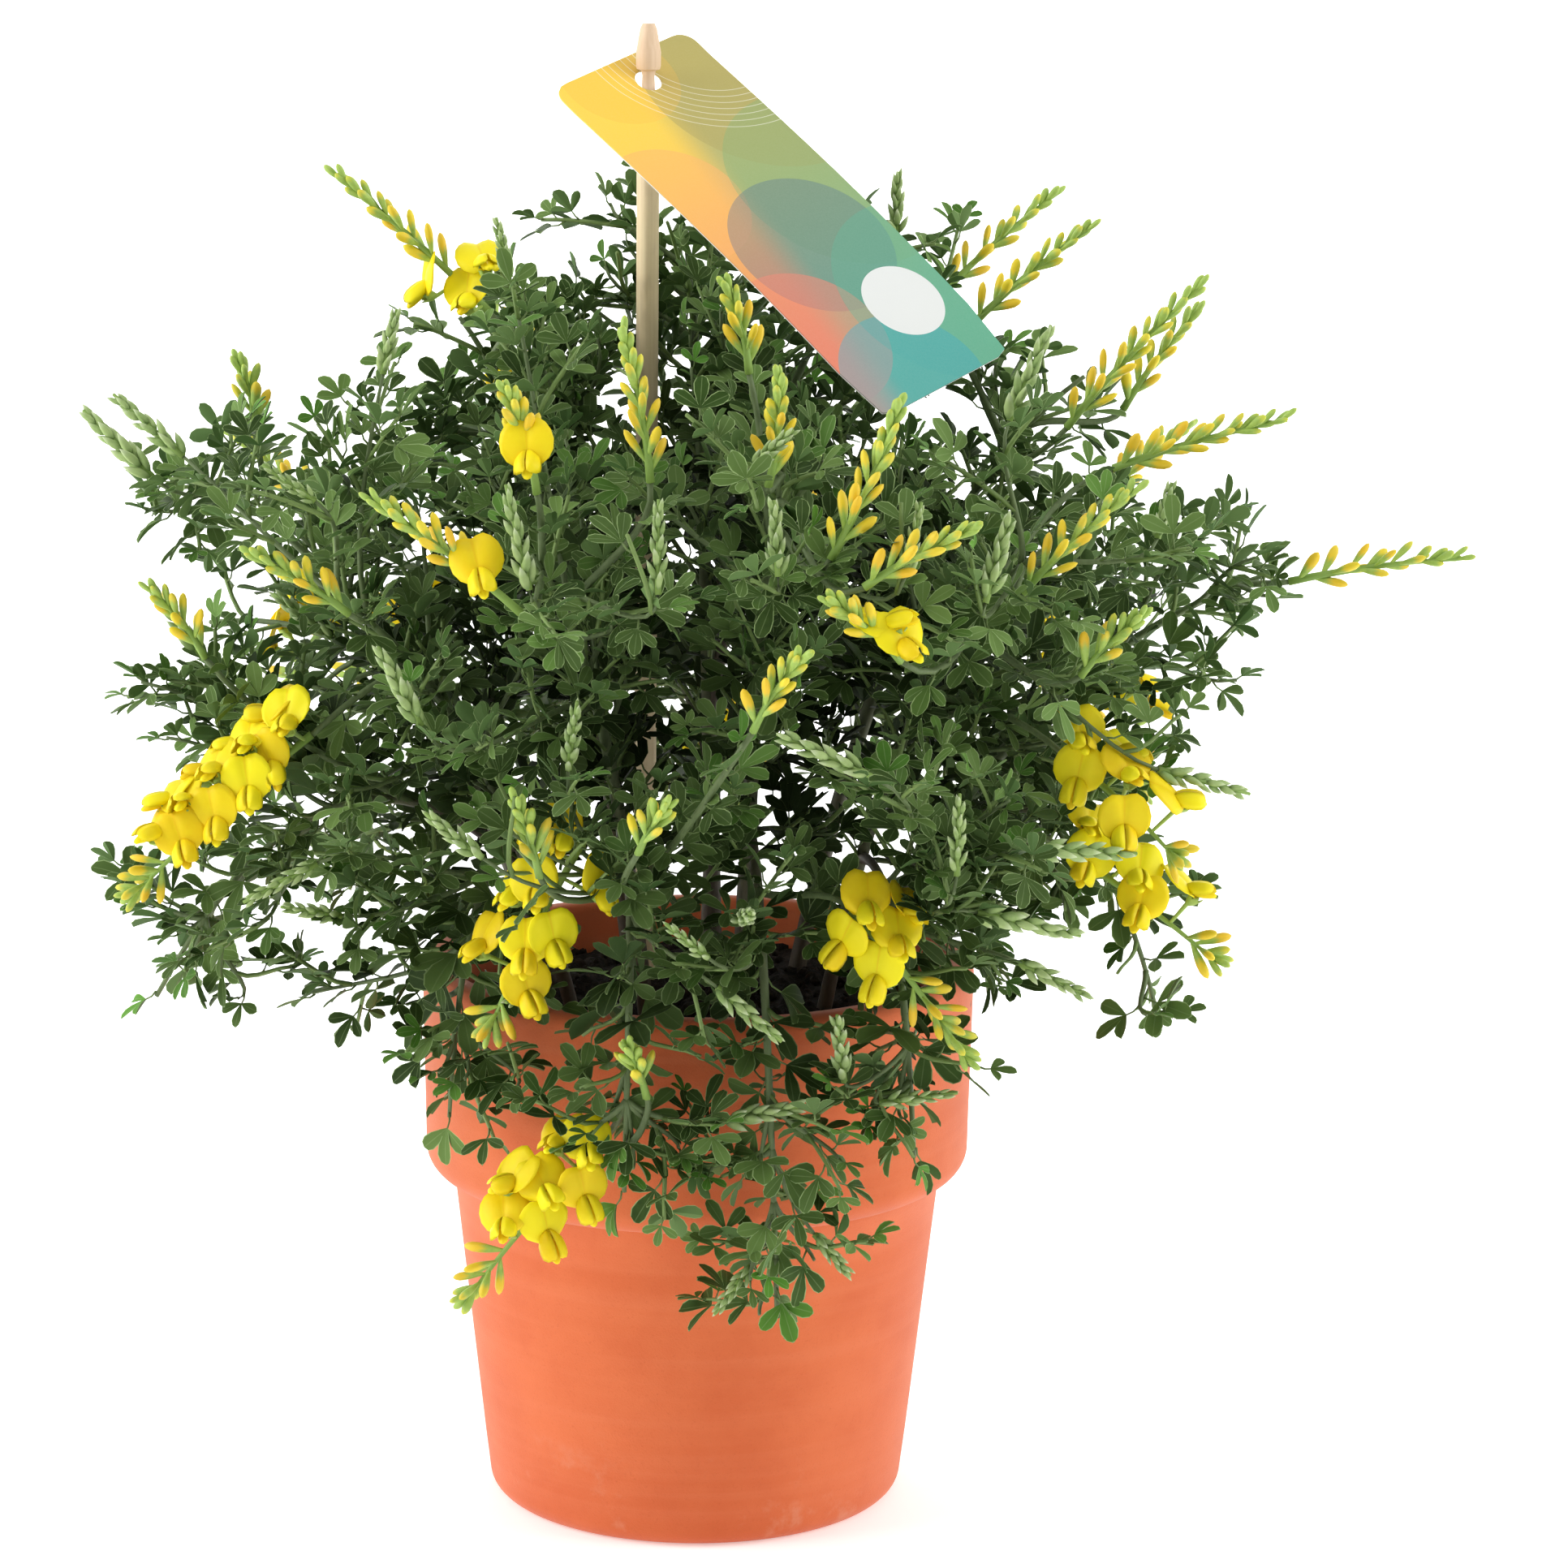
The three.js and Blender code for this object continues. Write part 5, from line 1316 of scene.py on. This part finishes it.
def grow_plant():
    """Stems with their limbs, twigs and shoots, leaves on them all, silvery tips and sprays."""
    rng = np.random.default_rng(SEED)
    limbs, drawn = grow_limbs()
    spray_feet, spray_tips = (metres([row[end] for row in FLOWER_SPRAYS + BUD_SPRAYS]) for end in (1, 2))
    spray_twigs = twigs_to(limbs, spray_feet, unit(spray_tips - spray_feet), SPRAY_TWIG)[0]
    spike_feet, spike_tips = spike_ends()
    spike_twigs = twigs_to(limbs, spike_feet, unit(spike_tips - spike_feet))[0]
    reaches = metres(REACHES)
    reach_twigs, clear = twigs_to(limbs, reaches, unit((reaches - CROWN) * [1, 1, 0.6] + [0, 0, 0.02]))
    reach_twigs = reach_twigs.where(clear)
    free_twigs, tipped = crown_twigs(limbs)
    twigs = joined([spray_twigs, spike_twigs, reach_twigs, free_twigs])
    shoots = side_shoots(joined([free_twigs, spike_twigs]), SHOOT_SPACING, rng)
    shoots = shoots.where(~in_bay(shoots.controls[:, 3], BAY_EDGE))
    reach_shoots = side_shoots(reach_twigs, REACH_SPACING, rng)
    limb_shoots = side_shoots(limbs, LIMB_SPACING, rng)
    small_stalks = joined([shoots, reach_shoots, limb_shoots])
    leaves = grow_leaves([
        (free_twigs, 0.25, 1.0, 1.25, 1.0, False), (reach_twigs, 0.25, 1.0, 1.1, 1.0, True),
        (spray_twigs, 0.3, 0.97, 1.3, 1.0, True), (spike_twigs, 0.3, 0.99, 1.2, 0.95, True),
        (shoots, 0.35, 1.0, 0.9, 0.92, False), (reach_shoots, 0.35, 1.0, 0.9, 0.92, True),
        (limb_shoots, 0.3, 1.0, 1.0, 1.0, False), (limbs.where(drawn), 0.45, 1.0, 1.3, 1.25, True),
    ], rng)
    placed_spikes = (spike_feet, spike_tips, spike_twigs.stem)
    spikes = [np.concatenate(pair) for pair in zip(placed_spikes, end_spikes(free_twigs.where(tipped)))]
    wood = wood_finish()
    dress_stems(wood, limbs, twigs, small_stalks, leaves, spikes, rng)
    dress_sprays(wood, rng)


def dress_stems(wood, limbs, twigs, small_stalks, leaves, spikes, rng):
    """For each stem a piece of wood, one of leaves and one of silvery tips."""
    leaf, silver = leaf_finish(), silver_finish()
    feet, tips, owner = spikes
    for number, name in enumerate(row[0] for row in STEMS):
        own, thin, small, mine = (rows.where(rows.stem == number)
                                  for rows in (limbs, twigs, small_stalks, leaves))
        surfaces = [
            stalk_tubes(own, 22, 8, old=1.0), stalk_tubes(thin, 10, 5),
            stalk_tubes(small, 6, 4, young=0.3), stalk_tubes(leaf_stalks(mine), 3, 3, young=0.2),
        ]
        dress("stem_wood_" + name, surfaces, [wood], "foliage", "stem_" + name)
        dress("leaves_" + name, blades_of(mine, rng), [leaf], "foliage", crease=50)
        here = owner == number
        if here.any():
            surfaces = shoot_tip(feet[here], tips[here], rng)
            dress("shoot_tips_" + name, surfaces, [wood, silver], "foliage")


def dress_sprays(wood, rng):
    """For each spray a piece with its stalk, flowers and buds."""
    materials = [wood, bud_finish(), petal_finish()]
    for kind, slot, rows in (("flowers_", "petals", FLOWER_SPRAYS), ("buds_", "buds", BUD_SPRAYS)):
        for name, *spray in rows:
            node = kind + name
            dress("spray_" + node, spray_pieces(*spray, rng), materials, slot, node)


# The studio: a pale sweep, soft light and the photograph's point of view.

def studio_sweep():
    """A floor that rises behind in a wide quarter round."""
    angle = np.linspace(0, np.pi / 2, 24)
    depth = np.concatenate([[-14.0, -2.0, 0.0, 0.8], 1.2 + 1.0 * np.sin(angle), [2.2]])
    height = np.concatenate([[0, 0, 0, 0], 1.0 - 1.0 * np.cos(angle), [4.0]])
    points = marks(np.linspace(-14, 14, 15), depth[:, None], height[:, None])
    surface = sheets((points + [0, 0.01, -0.01])[None, :, ::-1], points[None, :, ::-1])
    # The paper's emission is painted light: it glows though no lamp stands behind it, and lightens the
    # shadows on it.
    paper = Finish("paper", 0.9, Base_Color=(0.95, 0.95, 0.95, 1.0), Emission_Color=(1.0, 1.0, 1.0, 1.0),
                   Emission_Strength=PAPER_GLOW)
    floor = mesh_of("studio_floor", [surface], [paper.material])
    floor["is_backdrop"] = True


def softbox(name, place, aim, width, height, power):
    """A rectangular light that faces a place."""
    light = bpy.data.lights.new(name, "AREA")
    light.shape = "RECTANGLE"
    light.size, light.size_y, light.energy = width, height, power
    back = unit(np.array(place) - np.array(aim))
    side = unit(np.cross([0, 0, 1.0], back))
    stand(name, light, place, (side, np.cross(back, side), back))


def stand(name, data, place, axes):
    """An object at a place, with its own three axes turned these ways."""
    made = bpy.data.objects.new(name, data)
    bpy.context.scene.collection.objects.link(made)
    turn = Matrix(np.stack(axes, -1).tolist()).to_4x4()
    made.matrix_world = Matrix.Translation(place) @ turn
    return made


def studio_light():
    world = bpy.data.worlds.new("studio")
    bpy.context.scene.world = world
    world.use_nodes = True
    world.node_tree.nodes["Background"].inputs["Color"].default_value = (1.0, 1.0, 1.0, 1.0)
    world.node_tree.nodes["Background"].inputs["Strength"].default_value = SKY_GLOW
    aim = (0.0, 0.0, 0.18)
    softbox("left", (-1.5, -0.3, 0.8), aim, 1.0, 1.2, 21.0)
    softbox("right", (1.5, -0.25, 0.8), aim, 1.0, 1.2, 16.0)
    softbox("top", (0.0, -0.4, 1.7), aim, 1.0, 1.0, 7.0)
    softbox("behind", (0.0, 0.9, 1.4), (0.0, 2.2, 0.3), 2.5, 0.8, 30.0)
    bpy.context.scene.view_settings.view_transform = "Standard"


def camera():
    """The photograph's camera, found from the pot's rim and foot: about 1.2 m away with a long lens,
    a little above the plant and turned down by PITCH."""
    ahead = np.array([math.sin(YAW) * math.cos(PITCH), math.cos(YAW) * math.cos(PITCH), -math.sin(PITCH)])
    level = unit(np.cross(ahead, [0, 0, 1.0]))
    right = math.cos(ROLL) * level + math.sin(ROLL) * np.cross(level, ahead)
    rise = VIEW_POINT + VIEW_DISTANCE * math.sin(VIEW_RISE)
    eye = AXIS + [0, -VIEW_DISTANCE * math.cos(VIEW_RISE), rise]
    data = bpy.data.cameras.new("camera")
    data.sensor_width = SENSOR
    data.lens = SENSOR * FOCAL / IMAGE
    data.clip_start, data.clip_end = 0.05, 20.0
    viewer = stand("camera", data, eye.tolist(), (right, np.cross(right, ahead), -ahead))
    bpy.context.scene.camera = viewer


clay_pot()
potting_soil()
bamboo_stick()
plant_card()
grow_plant()
studio_sweep()
studio_light()
camera()

[[list(corner) for corner in box] for box in (cad_box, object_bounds())]
